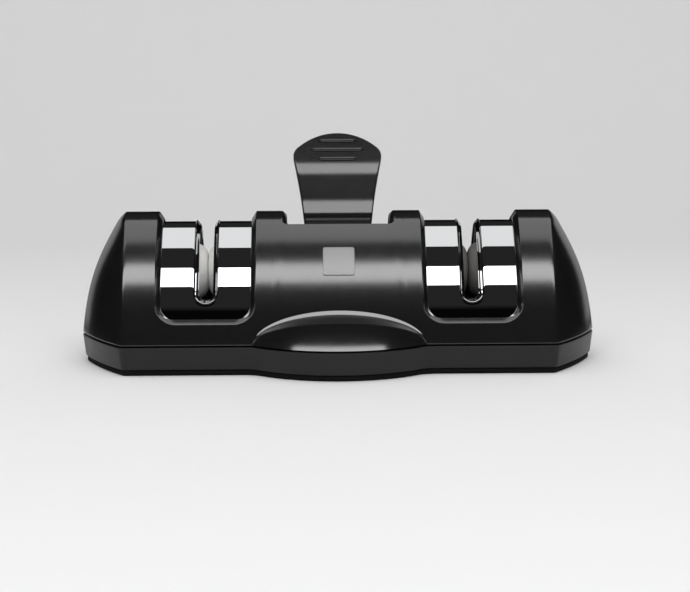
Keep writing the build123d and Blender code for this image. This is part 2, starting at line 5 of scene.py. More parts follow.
import bmesh
import bpy
import numpy as np
from bpy.props import FloatProperty, FloatVectorProperty, PointerProperty
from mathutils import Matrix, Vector


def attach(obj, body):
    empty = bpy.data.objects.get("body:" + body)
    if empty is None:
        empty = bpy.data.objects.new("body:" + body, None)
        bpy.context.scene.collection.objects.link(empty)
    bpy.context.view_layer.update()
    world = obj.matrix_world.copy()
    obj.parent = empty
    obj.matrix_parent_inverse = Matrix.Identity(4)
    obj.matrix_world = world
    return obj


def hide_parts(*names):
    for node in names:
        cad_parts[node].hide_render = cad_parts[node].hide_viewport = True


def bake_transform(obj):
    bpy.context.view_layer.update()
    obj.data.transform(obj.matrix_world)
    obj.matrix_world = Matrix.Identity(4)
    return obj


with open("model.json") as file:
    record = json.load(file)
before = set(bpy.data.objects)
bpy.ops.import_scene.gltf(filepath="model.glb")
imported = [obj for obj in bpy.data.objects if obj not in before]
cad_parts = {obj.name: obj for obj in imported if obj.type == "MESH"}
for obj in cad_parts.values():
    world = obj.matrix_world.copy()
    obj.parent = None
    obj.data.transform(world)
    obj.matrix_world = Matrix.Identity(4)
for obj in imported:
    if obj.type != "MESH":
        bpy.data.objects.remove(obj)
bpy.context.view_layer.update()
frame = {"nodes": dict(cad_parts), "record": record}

bl_info = {
    "name": "Roller Knife Sharpener",
    "version": (1, 0, 0),
    "blender": (4, 5, 0),
    "location": "View3D > Sidebar > Sharpener",
    "description": "Builds the visible pieces, finishes and studio of a two-stage roller knife sharpener",
    "category": "Object",
}


def length(name, millimetres, description):
    """A size in millimetres as a property in Blender's metres."""
    return FloatProperty(
        name=name, description=description, default=millimetres / 1000, unit="LENGTH", precision=4
    )


def angle(name, degrees, description):
    """An angle in degrees as a property in radians."""
    return FloatProperty(
        name=name, description=description, default=math.radians(degrees), subtype="ANGLE"
    )


def share(name, value, description):
    """A number from 0 to 1 as a property."""
    return FloatProperty(
        name=name, description=description, default=value, min=0.0, max=1.0, subtype="FACTOR"
    )


def watts(name, value, description):
    """A light's power as a property."""
    return FloatProperty(name=name, description=description, default=value, min=0.0, unit="POWER")


def paint(name, value, description):
    """A colour as a property."""
    limits = {"min": 0.0, "max": 1.0, "subtype": "COLOR"}
    return FloatVectorProperty(name=name, description=description, default=value, size=3, **limits)


# Sizes in metres that follow the solids and that the panel leaves out. The housing's inside and edges:
CREASE_ROUND = 0.0013
BULKHEAD_WALL = 0.0025
BULKHEAD_BOTTOM = 0.02
SADDLE_CORNER = 0.0014
HUMP_CHAMFER = 0.0013
MIDDLE_WIDTH = 0.02
LIP_EDGE = 0.0003
# The covers, the blank plate and the discs:
COVER_INSET = 0.0031
COVER_WALL = 0.001
COVER_WIDTH = 0.0326
COVER_BOTTOM = 0.013
BADGE_RISE = 0.0001
BADGE_WALL = 0.0006
BADGE_EDGE = 0.00012
BADGE_CORNER = 0.0006
AXLE_RADIUS = 0.00152
DISC_GAP = 0.0001
# The base, its pad and its underside:
SOFT_EDGE = 0.0004
BASE_WALL = 0.003
PAD_MARGIN = 0.0005
RECESS_RADIUS = 0.033
RECESS_TOP = 0.006
DOME_RADIUS = 0.0205
DOME_WALL = 0.0025
DOME_TOP = 0.0177
BUSH_BORE = 0.00607
POST_RADIUS = 0.0028
POST_X = 0.0124
POST_Y = 0.008
POST_TOP = 0.02187
# The suction cup:
CUP_GROUND = 0.00035
CUP_LIP = 0.001
CUP_SEAT = 0.0008
CUP_HOLLOW = 0.0034
CUP_FLANK = 0.005
CUP_HUB = 0.013
CUP_EDGE = 0.0005
CUP_TOP = 0.0086
# The lever with its ribs, cheeks and cams:
LEVER_DROP = 0.0012
LEVER_BEND = 0.0009
LEVER_EDGE = 0.0006
LEVER_ROUND = 0.0016
LEVER_HOLLOW = 0.0006
LEVER_BEVEL = 0.0007
RIB_END = 0.0012
CHEEK_INNER = 0.0045
CAM_RADIUS = 0.0065
CAM_DEPTH = 0.001635
CAM_HEIGHT = 0.031472


class SharpenerSizes(bpy.types.PropertyGroup):
    """Sizes of the sharpener's pieces that shape its look, taken from its solids."""

    crest_height: length("Crest height", 46.7, "Top of the arch above the ground")
    crest_radius: length("Crest radius", 12.5, "Radius of the arch's crest")
    shoulder: angle("Shoulder", 45, "Turn of the crest before the flanks begin")
    seam_depth: length("Seam depth", 27.0, "Half the depth of the body at the seam")
    seam_height: length("Seam height", 9.0, "Height of the seam between housing and base")
    seam_gap: length("Seam gap", 0.6, "Height of the dark gap at the seam")
    crease_length: length("Crease", 65.5, "Place along X of the crease before each end")
    end_bulge: length("End bulge", 14.5, "How far each end stands out past its crease")
    end_flank: FloatProperty(
        name="End flank", description="Radius of an end's flanks as a share of the half depth", default=3.5
    )
    end_full_depth: length("Full end depth", 24.0, "Half depth of the body below which its ends bulge less")
    end_slim: share("End slimming", 0.75, "How much less the ends bulge where the depth is nothing")
    end_tip: share("End tip", 0.2, "Radius of an end's tip as a share of the half depth")
    wall: length("Wall", 3.0, "Thickness of the housing's wall")
    belly_radius: length("Belly radius", 37.5, "Radius of the round belly over the cup")
    belly_blend: length("Belly blend", 8.0, "Radius between the belly and the straight side")
    brow_height: length("Brow height", 19.2, "Top of the belly's brow")
    brow_ledge: length("Brow ledge", 1.1, "Height of the brow's ledge")
    brow_lean: angle("Brow lean", 31, "Lean of the brow's ledge")
    belly_shelf: share("Belly shelf", 0.73, "Run of the shelf under the brow, as a share of the belly's run")
    belly_shelf_drop: share("Belly shelf drop", 0.125, "Fall of that shelf, as a share of the belly's drop")
    belly_hollow: share("Belly hollow", 0.037, "Hollow of the belly under its shelf, as a share of its chord")
    saddle_width: length("Saddle", 15.85, "Half the width of the gap for the lever")
    saddle_front: length("Saddle front", 43.8, "Front edge of the gap for the lever")
    saddle_back: length("Saddle back", 30.0, "Rear edge of the gap for the lever")
    station: length("Station", 40.3, "Place along X of a pair of discs")
    window_width: length("Window", 27.2, "Width of a window in the housing")
    window_bottom: length("Window bottom", 17.0, "Lower edge of a window")
    window_corner: length("Window corner", 5.0, "Radius of a window's lower corners")
    window_chamfer: length("Window chamfer", 1.5, "Chamfer round a window")
    slot_width: length("Slot", 4.4, "Width of a knife slot")
    slot_bottom: length("Slot bottom", 22.0, "Lower end of a knife slot")
    bead_width: length("Bead", 1.35, "Width of the bead round a slot")
    bead_rise: length("Bead rise", 0.4, "Height of the bead round a slot")
    badge_width: length("Badge width", 9.6, "Width of the blank plate")
    badge_height: length("Badge height", 8.2, "Height of the blank plate")
    badge_middle: length("Badge middle", 33.2, "Height of the middle of the blank plate")
    axle_height: length("Axle height", 28.0, "Height of the discs' axle")
    disc_radius: length("Disc radius", 8.8, "Radius of an abrasive disc")
    disc_width: length("Disc width", 6.0, "Thickness of an abrasive disc")
    disc_crown: length("Disc crown", 4.3, "Place of a disc's largest radius from the slot's middle")
    disc_groove: length("Disc groove", 4.8, "Radius of a disc at the bottom of the groove")
    pad_height: length("Pad", 1.8, "Thickness of the rubber pad")
    base_draft: angle("Base draft", 6.5, "Lean of the base's side")
    cup_radius: length("Cup radius", 31.0, "Radius of the suction cup's lip")
    lever_front: length("Lever front", -3.2, "Place along Y of the front of the lever's neck")
    lever_root: length("Lever root", 38.5, "Height where the lever's blade begins")
    lever_tip: length("Lever tip", 70.1, "Height of the lever's tip")
    lever_sweep: length("Lever sweep", 13.4, "How far the blade leans back")
    lever_wall: length("Lever thickness", 2.8, "Thickness of the blade along Y")
    lever_neck: length("Lever neck", 9.9, "Half the width of the blade's neck")
    lever_wide: length("Lever width", 14.1, "Half the width of the blade at its corners")
    lever_corner: length("Lever corner", 64.3, "Height of the blade's corners")
    rib_radius: length("Rib", 0.75, "Radius of the ribs on the thumb pad")


class SharpenerFinishes(bpy.types.PropertyGroup):
    """Colours and gloss of the sharpener's finishes; the colours come from the record's slots."""

    plastic_shine: share("Plastic shine", 0.6, "How strongly the housing reflects")
    housing_gloss: share("Housing roughness", 0.155, "Roughness of the housing")
    lever_gloss: share("Lever roughness", 0.15, "Roughness of the lever")
    base_gloss: share("Base roughness", 0.36, "Roughness of the base")
    chrome_gloss: share("Chrome roughness", 0.004, "Roughness of the plated covers")


def slot_colour(row):
    """The colour of one of the record's material slots as a property."""
    label = row["slot"].replace("_", " ").capitalize()
    return paint(label, row["base_color"][:3], f"Colour of the pieces in {label.lower()}")


SharpenerFinishes.__annotations__.update(
    {row["slot"]: slot_colour(row) for row in frame["record"]["materials"]}
)


def points(*columns):
    """An array of points from their coordinates, each of which may be an array or one number."""
    return np.stack(np.broadcast_arrays(*columns), axis=-1)


def quads(rows, columns, wrap):
    """Corner numbers of a grid's faces, row by row. A wrapped grid joins its last column to its first."""
    row = np.arange(rows - 1)[:, None] * columns
    column = np.arange(columns if wrap else columns - 1)[None, :]
    after = (column + 1) % columns
    corners = (row + column, row + after, row + columns + after, row + columns + column)
    return np.stack(corners, axis=-1).reshape(-1, 4)


# Points nearer than the first are one, and faces thinner than the second are dropped, in metres.
MERGE_REACH = 2e-6
EMPTY_REACH = 1e-7


def solid_mesh(name, patches, sharp):
    """One closed mesh from grids of points: the grids' common edges and poles are merged, the faces
    are turned outwards, and edges that turn by more than the sharp angle stay crisp."""
    points, faces, start = [], [], 0
    for grid, wrap in patches:
        rows, columns = grid.shape[:2]
        points.append(grid.reshape(-1, 3))
        faces.append(quads(rows, columns, wrap) + start)
        start += rows * columns
    mesh = bpy.data.meshes.new(name)
    mesh.from_pydata(np.concatenate(points).tolist(), [], np.concatenate(faces).tolist())
    shape = bmesh.new()
    shape.from_mesh(mesh)
    bmesh.ops.remove_doubles(shape, verts=shape.verts, dist=MERGE_REACH)
    bmesh.ops.dissolve_degenerate(shape, edges=shape.edges, dist=EMPTY_REACH)
    bmesh.ops.recalc_face_normals(shape, faces=shape.faces)
    shape.to_mesh(mesh)
    shape.free()
    mesh.polygons.foreach_set("use_smooth", np.ones(len(mesh.polygons), dtype=bool))
    mesh.set_sharp_from_angle(angle=math.radians(sharp))
    return mesh


def show_piece(name, grids, slot, body, *nodes, sharp=32.0):
    """Puts grids into the scene as a piece with its slot's finish that rides on a body and stands for CAD
    nodes."""
    mesh = solid_mesh(name, grids, sharp)
    piece = bpy.data.objects.new(name, mesh)
    bpy.context.scene.collection.objects.link(piece)
    mesh.materials.append(finish_of(slot))
    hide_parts(*nodes)
    if body:
        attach(piece, body)
    return piece


def mirrored(patches, x=1, y=1):
    """The same grids with X or Y reversed."""
    return [(grid * np.array((x, y, 1)), wrap) for grid, wrap in patches]


def moved(patches, x=0.0, y=0.0, z=0.0):
    """The same grids at another place."""
    return [(grid + np.array((x, y, z)), wrap) for grid, wrap in patches]


def arch_of(sizes, inset=0.0):
    """The arch's section moved inwards: a crest arc about a centre on the middle plane, and a flank
    arc that leaves it at the shoulder without a kink and reaches the seam's depth at its height."""
    sine, cosine = math.sin(sizes.shoulder), math.cos(sizes.shoulder)
    centre = sizes.crest_height - sizes.crest_radius
    depth = sizes.crest_radius * sine
    height = centre + sizes.crest_radius * cosine
    run = sizes.seam_depth - depth
    drop = height - sizes.seam_height
    flank = (run**2 + drop**2) / (2 * (drop * cosine - run * sine))
    return SimpleNamespace(
        lean=sizes.shoulder,
        crest=sizes.crest_radius - inset,
        crest_centre=centre,
        flank=flank - inset,
        flank_depth=depth - flank * sine,
        flank_height=height - flank * cosine,
        shoulder=(sizes.crest_radius - inset) * sizes.shoulder,
    )


def arch_point(arch, run, inset=0.0):
    """Depth and height of the arch's section at a length run along it from the crest, moved inwards:
    the arc's centre plus its radius less the inset, along the normal that has turned with the run."""
    reach = np.abs(run)
    high = reach <= arch.shoulder
    turn = np.where(high, reach / arch.crest, arch.lean + (reach - arch.shoulder) / arch.flank)
    radius = np.where(high, arch.crest, arch.flank) - inset
    depth = np.where(high, 0.0, arch.flank_depth) + radius * np.sin(turn)
    height = np.where(high, arch.crest_centre, arch.flank_height) + radius * np.cos(turn)
    return np.sign(run) * depth, height


def arch_run(arch, height, inset=0.0):
    """The length along the arch from its crest down to a height, for the arch moved inwards."""
    height = np.asarray(height, dtype=float)
    high = height >= arch.crest_centre + (arch.crest - inset) * math.cos(arch.lean)
    on_crest = np.clip((height - arch.crest_centre) / (arch.crest - inset), -1, 1)
    on_flank = np.clip((height - arch.flank_height) / (arch.flank - inset), -1, 1)
    flank_run = arch.shoulder + (np.arccos(on_flank) - arch.lean) * arch.flank
    return np.where(high, np.arccos(on_crest) * arch.crest, flank_run)


def on_arch(arch, x, run, inset=0.0):
    """Points of the arch carried along X, as an array of X, Y and Z."""
    depth, height = arch_point(arch, run, inset)
    return points(x, depth, height)


def straight(x):
    """A field's side that stays at one X."""
    return lambda run: x + 0 * run


def field_border(left, right, low, high, across, along):
    """A field's border as X and run, side by side from its front left corner. Left and right are
    functions of the run, and each side has evenly spaced points without its last one."""
    u = np.arange(across) / across
    v = np.arange(along) / along
    up = low + (high - low) * v
    down = high + (low - high) * v
    front = left(low) + (right(low) - left(low)) * u
    back = right(high) + (left(high) - right(high)) * u
    x = (front, right(up), back, left(down))
    run = (np.full(across, low), up, np.full(across, high), down)
    return np.concatenate(x), np.concatenate(run)


def rounded_outline(half, low, high, radius, across, along):
    """A rectangle with round corners about X = 0, as X and run. Each of its sides goes from the middle
    of one corner to the middle of the next: an eighth of a turn, a straight, an eighth of a turn."""

    def side(straight, count):
        corner = radius * math.pi / 4
        place = np.arange(count) / count * (2 * corner + straight) - corner - straight / 2
        beyond = np.abs(place) - straight / 2
        turn = np.sign(place) * np.maximum(beyond, 0) / radius
        return np.clip(place, -straight / 2, straight / 2) + radius * np.sin(turn), radius * np.cos(turn)

    middle = (low + high) / 2
    wide, out_wide = side(2 * (half - radius), across)
    tall, out_tall = side(high - low - 2 * radius, along)
    x = (wide, half - radius + out_tall, -wide, radius - half - out_tall)
    run = (low + radius - out_wide, middle + tall, high - radius + out_wide, middle - tall)
    return np.concatenate(x), np.concatenate(run)


def pierced_field(arch, border, outline, rim, wall, steps):
    """A field of the arch with a hole, from its border over the outer skin to the hole, down the hole's
    rim and back over the inner skin. A row of the skins lies a share of the way between the hole's
    outline and the border, and a row of the rim is the outline grown and moved inwards."""
    share_out = np.linspace(1, 0, steps)[:, None]
    share_in = np.linspace(0, 1, 4)[:, None]
    grow, inset = rim[0]
    hole = outline(grow, inset)
    edge = border(0.0)
    outer = [edge[i] * share_out + hole[i] * (1 - share_out) for i in (0, 1)]
    rows = [on_arch(arch, outer[0], outer[1], 0.0)]
    for grow, inset in rim[1:]:
        x, run = outline(grow, inset)
        rows.append(on_arch(arch, x, run, inset)[None])
    hole = outline(*rim[-1])
    edge = border(wall)
    inner = [edge[i] * share_in + hole[i] * (1 - share_in) for i in (0, 1)]
    rows.append(on_arch(arch, inner[0], inner[1], wall)[1:])
    return np.concatenate(rows)


def curve_between(start, corner, end, count):
    """Points from start to end on the parabola that leaves and arrives along the lines to a corner."""
    t = np.linspace(0, 1, count).reshape((-1,) + (1,) * start.ndim)
    return (1 - t) ** 2 * start + 2 * t * (1 - t) * corner + t**2 * end


def crease_round(sizes, arch, run):
    """Length of the rounding at a crease, which fades out towards the crest with the body's depth."""
    depth, _ = arch_point(arch, np.abs(run))
    return CREASE_ROUND * np.clip(depth / sizes.crest_radius, 0, 1)


def end_plan(sizes, depth):
    """The front half of an end's plan for a half depth of one, from its crease: a long arc from the
    crease that runs without a kink into a small arc round the tip. Where the body is shallow, near the
    crest, the end bulges less."""
    slim = 1 - sizes.end_slim * np.clip(1 - depth / sizes.end_full_depth, 0, 1) ** 2
    flank, tip = sizes.end_flank, slim * sizes.end_tip
    tip_centre = slim * sizes.end_bulge / sizes.seam_depth - tip
    span = np.hypot(tip_centre, 1)
    along = (flank**2 - (flank - tip) ** 2 + span**2) / (2 * span)
    away = np.sqrt(flank**2 - along**2)
    x = (along * tip_centre - away) / span
    y = (along + away * tip_centre) / span - 1
    first = np.arcsin((-1 - y) / flank)
    meet = np.arctan2(-y, tip_centre - x)
    return SimpleNamespace(x=x, y=y, flank=flank, tip=tip, tip_centre=tip_centre, first=first, meet=meet)


def end_half(sizes, depth, ease):
    """X past the crease and Y of the front half of an end for each depth: the flank's arc, which starts
    later by the length of the crease's rounding, and the tip's arc up to the middle plane."""
    plan = end_plan(sizes, depth)
    first = plan.first + ease / np.maximum(plan.flank * depth, 1e-9)
    turn = np.linspace(first, plan.meet, 28)
    x, y = plan.x + plan.flank * np.cos(turn), plan.y + plan.flank * np.sin(turn)
    turn = np.linspace(plan.meet, 0 * first, 11)[1:]
    x = np.concatenate((x, plan.tip_centre + plan.tip * np.cos(turn)))
    y = np.concatenate((y, plan.tip * np.sin(turn)))
    return depth * x, depth * y


def end_cap(sizes, arch, run, inset):
    """A rounded end of the body. At each height its plan is the end's plan grown with the depth there,
    and a parabola rounds each crease."""
    depth, height = arch_point(arch, run, inset)
    ease = crease_round(sizes, arch, run)
    crease = sizes.crease_length - inset
    x, y = end_half(sizes, depth, ease)
    end = points(crease + x, y, height)
    front = points(crease - ease, -depth, height)
    corner = points(crease, -depth, height)
    half = np.concatenate((curve_between(front, corner, end[0], 6)[:-1], end))
    back = half[-2::-1] * np.array((1, -1, 1))
    return np.concatenate((half, back)).transpose(1, 0, 2)


# Heights at the gap's floor as shares of its corner's radius, the most of the arch's peak over the floor that
# they may take, and the share of a rim's growth that widens the gap along the arch.
SADDLE_HEIGHTS = np.linspace(-0.5, 1, 31)
SADDLE_PEAK_SHARE = 0.9
SADDLE_GROWTH_SHARE = 0.25


def saddle_outline(sizes, arch, across, along):
    """The outline of the gap for the lever as a function of growth and inset. A rounded rectangle is
    drawn over X and a height above the gap's sloping floor, and each height is carried to the run
    along the arch where the arch, moved inwards, lies that high over the floor."""
    front, _ = arch_point(arch, -arch_run(arch, sizes.saddle_front))
    back, _ = arch_point(arch, arch_run(arch, sizes.saddle_back))
    fall = math.atan2(sizes.saddle_front - sizes.saddle_back, back - front)
    corner = SADDLE_CORNER
    run = np.linspace(-1, 1, 4001) * float(arch_run(arch, sizes.seam_height))

    def floor_runs(inset):
        y, z = arch_point(arch, run, inset)
        over = (y - front) * math.sin(fall) + (z - sizes.saddle_front) * math.cos(fall)
        peak = int(np.argmax(over))
        scale = min(1.0, SADDLE_PEAK_SHARE * over[peak] / corner)
        height = SADDLE_HEIGHTS * corner * scale
        rising = np.interp(height, over[: peak + 1], run[: peak + 1])
        falling = np.interp(height, over[peak:][::-1], run[peak:][::-1])
        return rising, falling[::-1]

    rising, falling = floor_runs(0.0)
    span = falling[0] - rising[-1] + 2 * corner
    up = SADDLE_HEIGHTS * corner
    level = np.concatenate((up, span - up[::-1]))

    def outline(grow, inset):
        ease = SADDLE_GROWTH_SHARE * grow
        x, place = rounded_outline(
            sizes.saddle_width + grow, -ease, span + ease, corner + ease, across, along
        )
        return x, np.interp(place, level, np.concatenate(floor_runs(inset)))

    return outline


# The brow's half ellipse is drawn up to this turn on both sides, just short of its tips.
BROW_TURN = math.radians(88.5)


def belly_boss(sizes, arch):
    """The boss over the belly, at the front. Its brow rises as a half ellipse over X; a leaning ledge and
    a shelf run out from the arch there, and a hollow arc falls from the shelf to the round belly."""
    bottom = sizes.seam_height + sizes.seam_gap / 2
    half = math.sqrt(sizes.belly_radius**2 - sizes.seam_depth**2)
    turn = np.linspace(-1, 1, 97) * BROW_TURN
    place, rise = half * np.sin(turn), np.cos(turn)

    def depth(height):
        return arch_point(arch, arch_run(arch, height))[0]

    top = bottom + (sizes.brow_height - bottom) * rise
    ledge = sizes.brow_ledge * rise
    crown = depth(top)
    under = top - ledge
    lip = crown + ledge * math.tan(sizes.brow_lean)
    foot = np.sqrt(sizes.belly_radius**2 - place**2)
    shelf = lip + sizes.belly_shelf * (foot - lip)
    edge = under - sizes.belly_shelf_drop * (under - bottom)
    run, drop = foot - shelf, edge - bottom
    step = np.linspace(0, 1, 6)[:, None]
    out = step[1:]
    sag = -sizes.belly_hollow
    turn = np.linspace(-1, 1, 22)[1:, None] * 2 * math.atan(2 * sag)
    radius = (0.25 + sag**2) / (2 * sag)
    along = 0.5 + radius * np.sin(turn)
    away = sag - radius + radius * np.cos(turn)
    arc_y, arc_z = shelf + run * along + drop * away, edge - drop * along + run * away
    inner_y = [depth(bottom) - sizes.wall / 2 + 0 * crown, crown - sizes.wall / 2]
    inner_z = [bottom + 0 * crown, top]
    y = np.concatenate((crown + (lip - crown) * step, lip + (shelf - lip) * out, arc_y, inner_y))
    z = np.concatenate((top - ledge * step, under + (edge - under) * out, arc_z, inner_z))
    grid = points(place, -y, z).transpose(1, 0, 2)
    ends = [np.broadcast_to(row.mean(axis=0), (1,) + row.shape) for row in (grid[0], grid[-1])]
    return [(np.concatenate((ends[0], grid, ends[1])), True)]


def bulkhead(sizes, arch):
    """A wall beside the lever: the part of the arch's inside above a height, pushed along X."""
    reach = float(arch_run(arch, BULKHEAD_BOTTOM, sizes.wall))
    run = np.linspace(-reach, reach, 81)
    y, z = arch_point(arch, run, sizes.wall)
    low, near = BULKHEAD_BOTTOM, sizes.saddle_width
    far = near + BULKHEAD_WALL
    corners = [(near, z), (far, z), (far, low), (near, low)]
    grid = np.stack([points(x, y, h) for x, h in corners], axis=1)
    return [(grid, True)]


# Rows of a hole's rim in millimetres: how far outside the hole, and how deep under the skin. The window's
# rim falls over a lip to a shallow sill below and steep sides, then over a foot into the wall.
WINDOW_LIP = ((0.3, 0.0), (0.1, 0.01), (-0.05, 0.1), (-0.2, 0.3))
WINDOW_SIDE_DEPTHS = (0.0005, 0.00065, 0.00072, 0.00085)
WINDOW_FOOT = ((0.2, -0.3), (0.05, -0.05), (0.0, 0.2))
WINDOW_SILL_SLOPE = 0.4
WINDOW_SIDE_SLOPE = 1.5
HUMP_EDGE = ((0.3, 0.0), (0.08, 0.02), (-0.1, 0.1))
BEAD_FOOT = ((0.4, 0.0), (0.15, -0.03))
BEAD_SIDE = (0.00002, 0.6)
BEAD_CREST = ((-0.1, 0.0), (-0.25, 0.08), (-0.38, 0.2), (-0.4, 0.22))
BEAD_END = (0.0001, 0.9)
ROUND_END_MARGIN = 1e-6


def rim_rows(rows, grow=0.0, inset=0.0):
    """Rows of a rim in metres, moved by a growth and an inset."""
    return [(grow + out / 1000, inset + deep / 1000) for out, deep in rows]


def housing_grids(sizes):
    """The housing: three pierced fields of the arch, two rounded ends, the rim at the seam, both
    belly bosses and the walls beside the lever."""
    arch = arch_of(sizes)
    across, along, steps = 44, 160, 10
    wall, soft, middle = sizes.wall, LIP_EDGE, MIDDLE_WIDTH
    bottom = sizes.seam_height + sizes.seam_gap / 2
    lip = ((soft, 0.0), (soft / 2, 0.0), (soft / 8, soft / 8), (0.0, soft / 2), (0.0, wall))
    lip = [(float(arch_run(arch, bottom + rise, inset)), inset) for rise, inset in lip]
    reach, reach_in = lip[0][0], lip[-1][0]

    def crease(inset):
        return lambda run: sizes.crease_length - inset - crease_round(sizes, arch, run)

    def window_border(inset):
        end = reach_in if inset else reach
        return field_border(straight(middle), crease(inset), -end, end, across, along)

    def middle_border(inset):
        end = reach_in if inset else reach
        return field_border(straight(-middle), straight(middle), -end, end, across, along)

    low = float(arch_run(arch, sizes.window_bottom))
    cut = sizes.window_chamfer
    rim = rim_rows(WINDOW_LIP, cut)
    widest = rim[0][0]

    def window_outline(grow, inset):
        sill = low + max(min(grow, widest - inset / WINDOW_SILL_SLOPE), 0)
        corner = sizes.window_corner + sill - low
        x, run = rounded_outline(sizes.window_width / 2 + grow, -sill, sill, corner, across, along)
        return sizes.station + x, run

    rim += [(cut - inset / WINDOW_SIDE_SLOPE, inset) for inset in WINDOW_SIDE_DEPTHS]
    rim += rim_rows(WINDOW_FOOT, 0.0, WINDOW_SIDE_SLOPE * cut) + [(0.0, wall)]
    hump = rim_rows(HUMP_EDGE, HUMP_CHAMFER)
    saddle_rim = hump + [(deep, out) for out, deep in reversed(hump)] + [(0.0, wall)]
    gap = saddle_outline(sizes, arch, across, along)
    centre = [(pierced_field(arch, middle_border, gap, saddle_rim, wall, steps), True)]
    side = [(pierced_field(arch, window_border, window_outline, rim, wall, steps), True)]
    for end, inset in ((reach, 0.0), (reach_in, wall)):
        side.append((end_cap(sizes, arch, np.linspace(end, 0, along // 2 + 1), inset), False))
    side.append((np.concatenate([end_cap(sizes, arch, np.array([run]), inset) for run, inset in lip]), False))
    u = np.linspace(0, 1, across + 1)
    for way in (-1, 1):
        rows = [on_arch(arch, middle * (2 * u - 1), way * run, inset) for run, inset in lip]
        centre.append((np.stack(rows), False))
        rows = []
        for run, inset in lip:
            far = float(crease(inset)(np.array(run)))
            rows.append(on_arch(arch, middle + (far - middle) * u, way * run, inset))
        side.append((np.stack(rows), False))
    side += bulkhead(sizes, arch)
    boss = belly_boss(sizes, arch)
    return centre + side + mirrored(side, x=-1) + boss + mirrored(boss, y=-1)


def plan_outline(sizes):
    """The base's plan at the seam with its outward normals, once round. A quarter of it is the belly's
    arc, a hollow arc that leaves it without a kink, the straight side, a rounded crease and the end's
    arcs; the other quarters are its mirror images."""
    belly, blend, depth = sizes.belly_radius, sizes.belly_blend, sizes.seam_depth
    centre = math.sqrt((belly + blend) ** 2 - (depth + blend) ** 2)
    meet = math.atan2(depth + blend, centre)
    crease = sizes.crease_length
    ease = CREASE_ROUND
    a = np.linspace(math.pi / 2, meet, 40)
    round_belly = points(belly * np.cos(a), -belly * np.sin(a))
    b = np.linspace(meet, math.pi / 2, 24)
    hollow = points(centre - blend * np.cos(b), -depth - blend + blend * np.sin(b))
    straight = points(np.linspace(centre, crease - ease, 30), -depth)
    past, across = end_half(sizes, np.array([depth]), np.array([ease]))
    end = points(crease + past[:, 0], across[:, 0])
    corner = curve_between(straight[-1], np.array((crease, -depth)), end[0], 8)
    quarter = np.concatenate((round_belly, hollow[1:], straight[1:], corner[1:], end[1:]))
    half = np.concatenate((quarter, quarter[-2::-1] * np.array((1, -1))))
    loop = np.concatenate((half, half[-2:0:-1] * np.array((-1, 1))))
    ahead = np.roll(loop, -1, axis=0) - np.roll(loop, 1, axis=0)
    normal = points(ahead[:, 1], -ahead[:, 0])
    return loop, normal / np.linalg.norm(normal, axis=1, keepdims=True)


def swept_rows(loop, normal, profile):
    """A profile of inset and height carried round a plan outline: each row is the outline moved
    inwards along its normals, at its height."""
    return np.stack([np.column_stack((loop - inset * normal, 0 * loop[:, 0] + z)) for inset, z in profile])


def circle_rows(loop, profile):
    """Rings about Z whose points lie at the same bearings as a plan outline's points."""
    bearing = np.arctan2(loop[:, 1], loop[:, 0])
    ring = points(np.cos(bearing), np.sin(bearing))
    return np.stack([np.column_stack((ring * radius, 0 * loop[:, 0] + z)) for radius, z in profile])


def turned(profile, count=96):
    """A profile of radius and height carried once round the Z axis."""
    profile = np.asarray(profile, dtype=float)
    bearing = np.linspace(0, 2 * math.pi, count, endpoint=False)
    radius = profile[:, :1]
    return [(points(radius * np.cos(bearing), radius * np.sin(bearing), profile[:, 1:]), True)]


def turned_along_x(profile, height, count=96):
    """A profile of place along X and radius carried once round a line along X at a height."""
    profile = np.asarray(profile, dtype=float)
    (grid, wrap), = turned(profile[:, ::-1], count)
    return [(grid[..., (2, 0, 1)] + np.array((0, 0, height)), wrap)]


# Soft edges as shares of their size: inwards, and up or down from the edge's level.
BASE_TOP_EDGE = ((1.0, 0.0), (0.45, 0.12), (0.1, 0.5))
BASE_FOOT_EDGE = ((0.2, 0.3), (0.8, 0.0))
PAD_EDGE = ((1.0, 0.0), (0.3, 0.3), (0.0, 1.0))
POST_EDGE = (0.0002, 0.0001)


def base_grids(sizes):
    """The base: its leaning side with soft edges carried round the plan, its underside out to the cup's
    hollow, the hollow and the dome turned about Z, and the posts of the cam seat."""
    loop, normal = plan_outline(sizes)
    top, low, soft = sizes.seam_height - sizes.seam_gap / 2, sizes.pad_height, SOFT_EDGE
    lean = math.tan(sizes.base_draft)
    foot = (top - low) * lean
    side = [(BASE_WALL, top)] + [(soft * inwards, top - soft * down) for inwards, down in BASE_TOP_EDGE]
    side += [((top - height) * lean, height) for height in np.linspace(top - soft, low + soft, 9)]
    side += [(foot + soft * inwards, low + soft * up) for inwards, up in BASE_FOOT_EDGE]
    hollow, ceiling = DOME_RADIUS - DOME_WALL, DOME_TOP - DOME_WALL
    under = [(RECESS_RADIUS, low), (RECESS_RADIUS, RECESS_TOP), (hollow, RECESS_TOP)]
    under += [(hollow, ceiling), (BUSH_BORE, ceiling), (BUSH_BORE, DOME_TOP)]
    under += [(DOME_RADIUS, DOME_TOP), (DOME_RADIUS, top)]
    skin = np.concatenate((swept_rows(loop, normal, side), circle_rows(loop, under)))
    grids = [(np.concatenate((skin, skin[:1])), True)]
    start, radius, post_top = DOME_TOP - DOME_WALL / 2, POST_RADIUS, POST_TOP
    post = [(0, start), (radius, start), (radius, post_top - POST_EDGE[1]), (radius - POST_EDGE[0], post_top)]
    for x in (-POST_X, POST_X):
        for y in (-POST_Y, POST_Y):
            grids += moved(turned(post + [(0, post_top)], 32), x, y)
    return grids


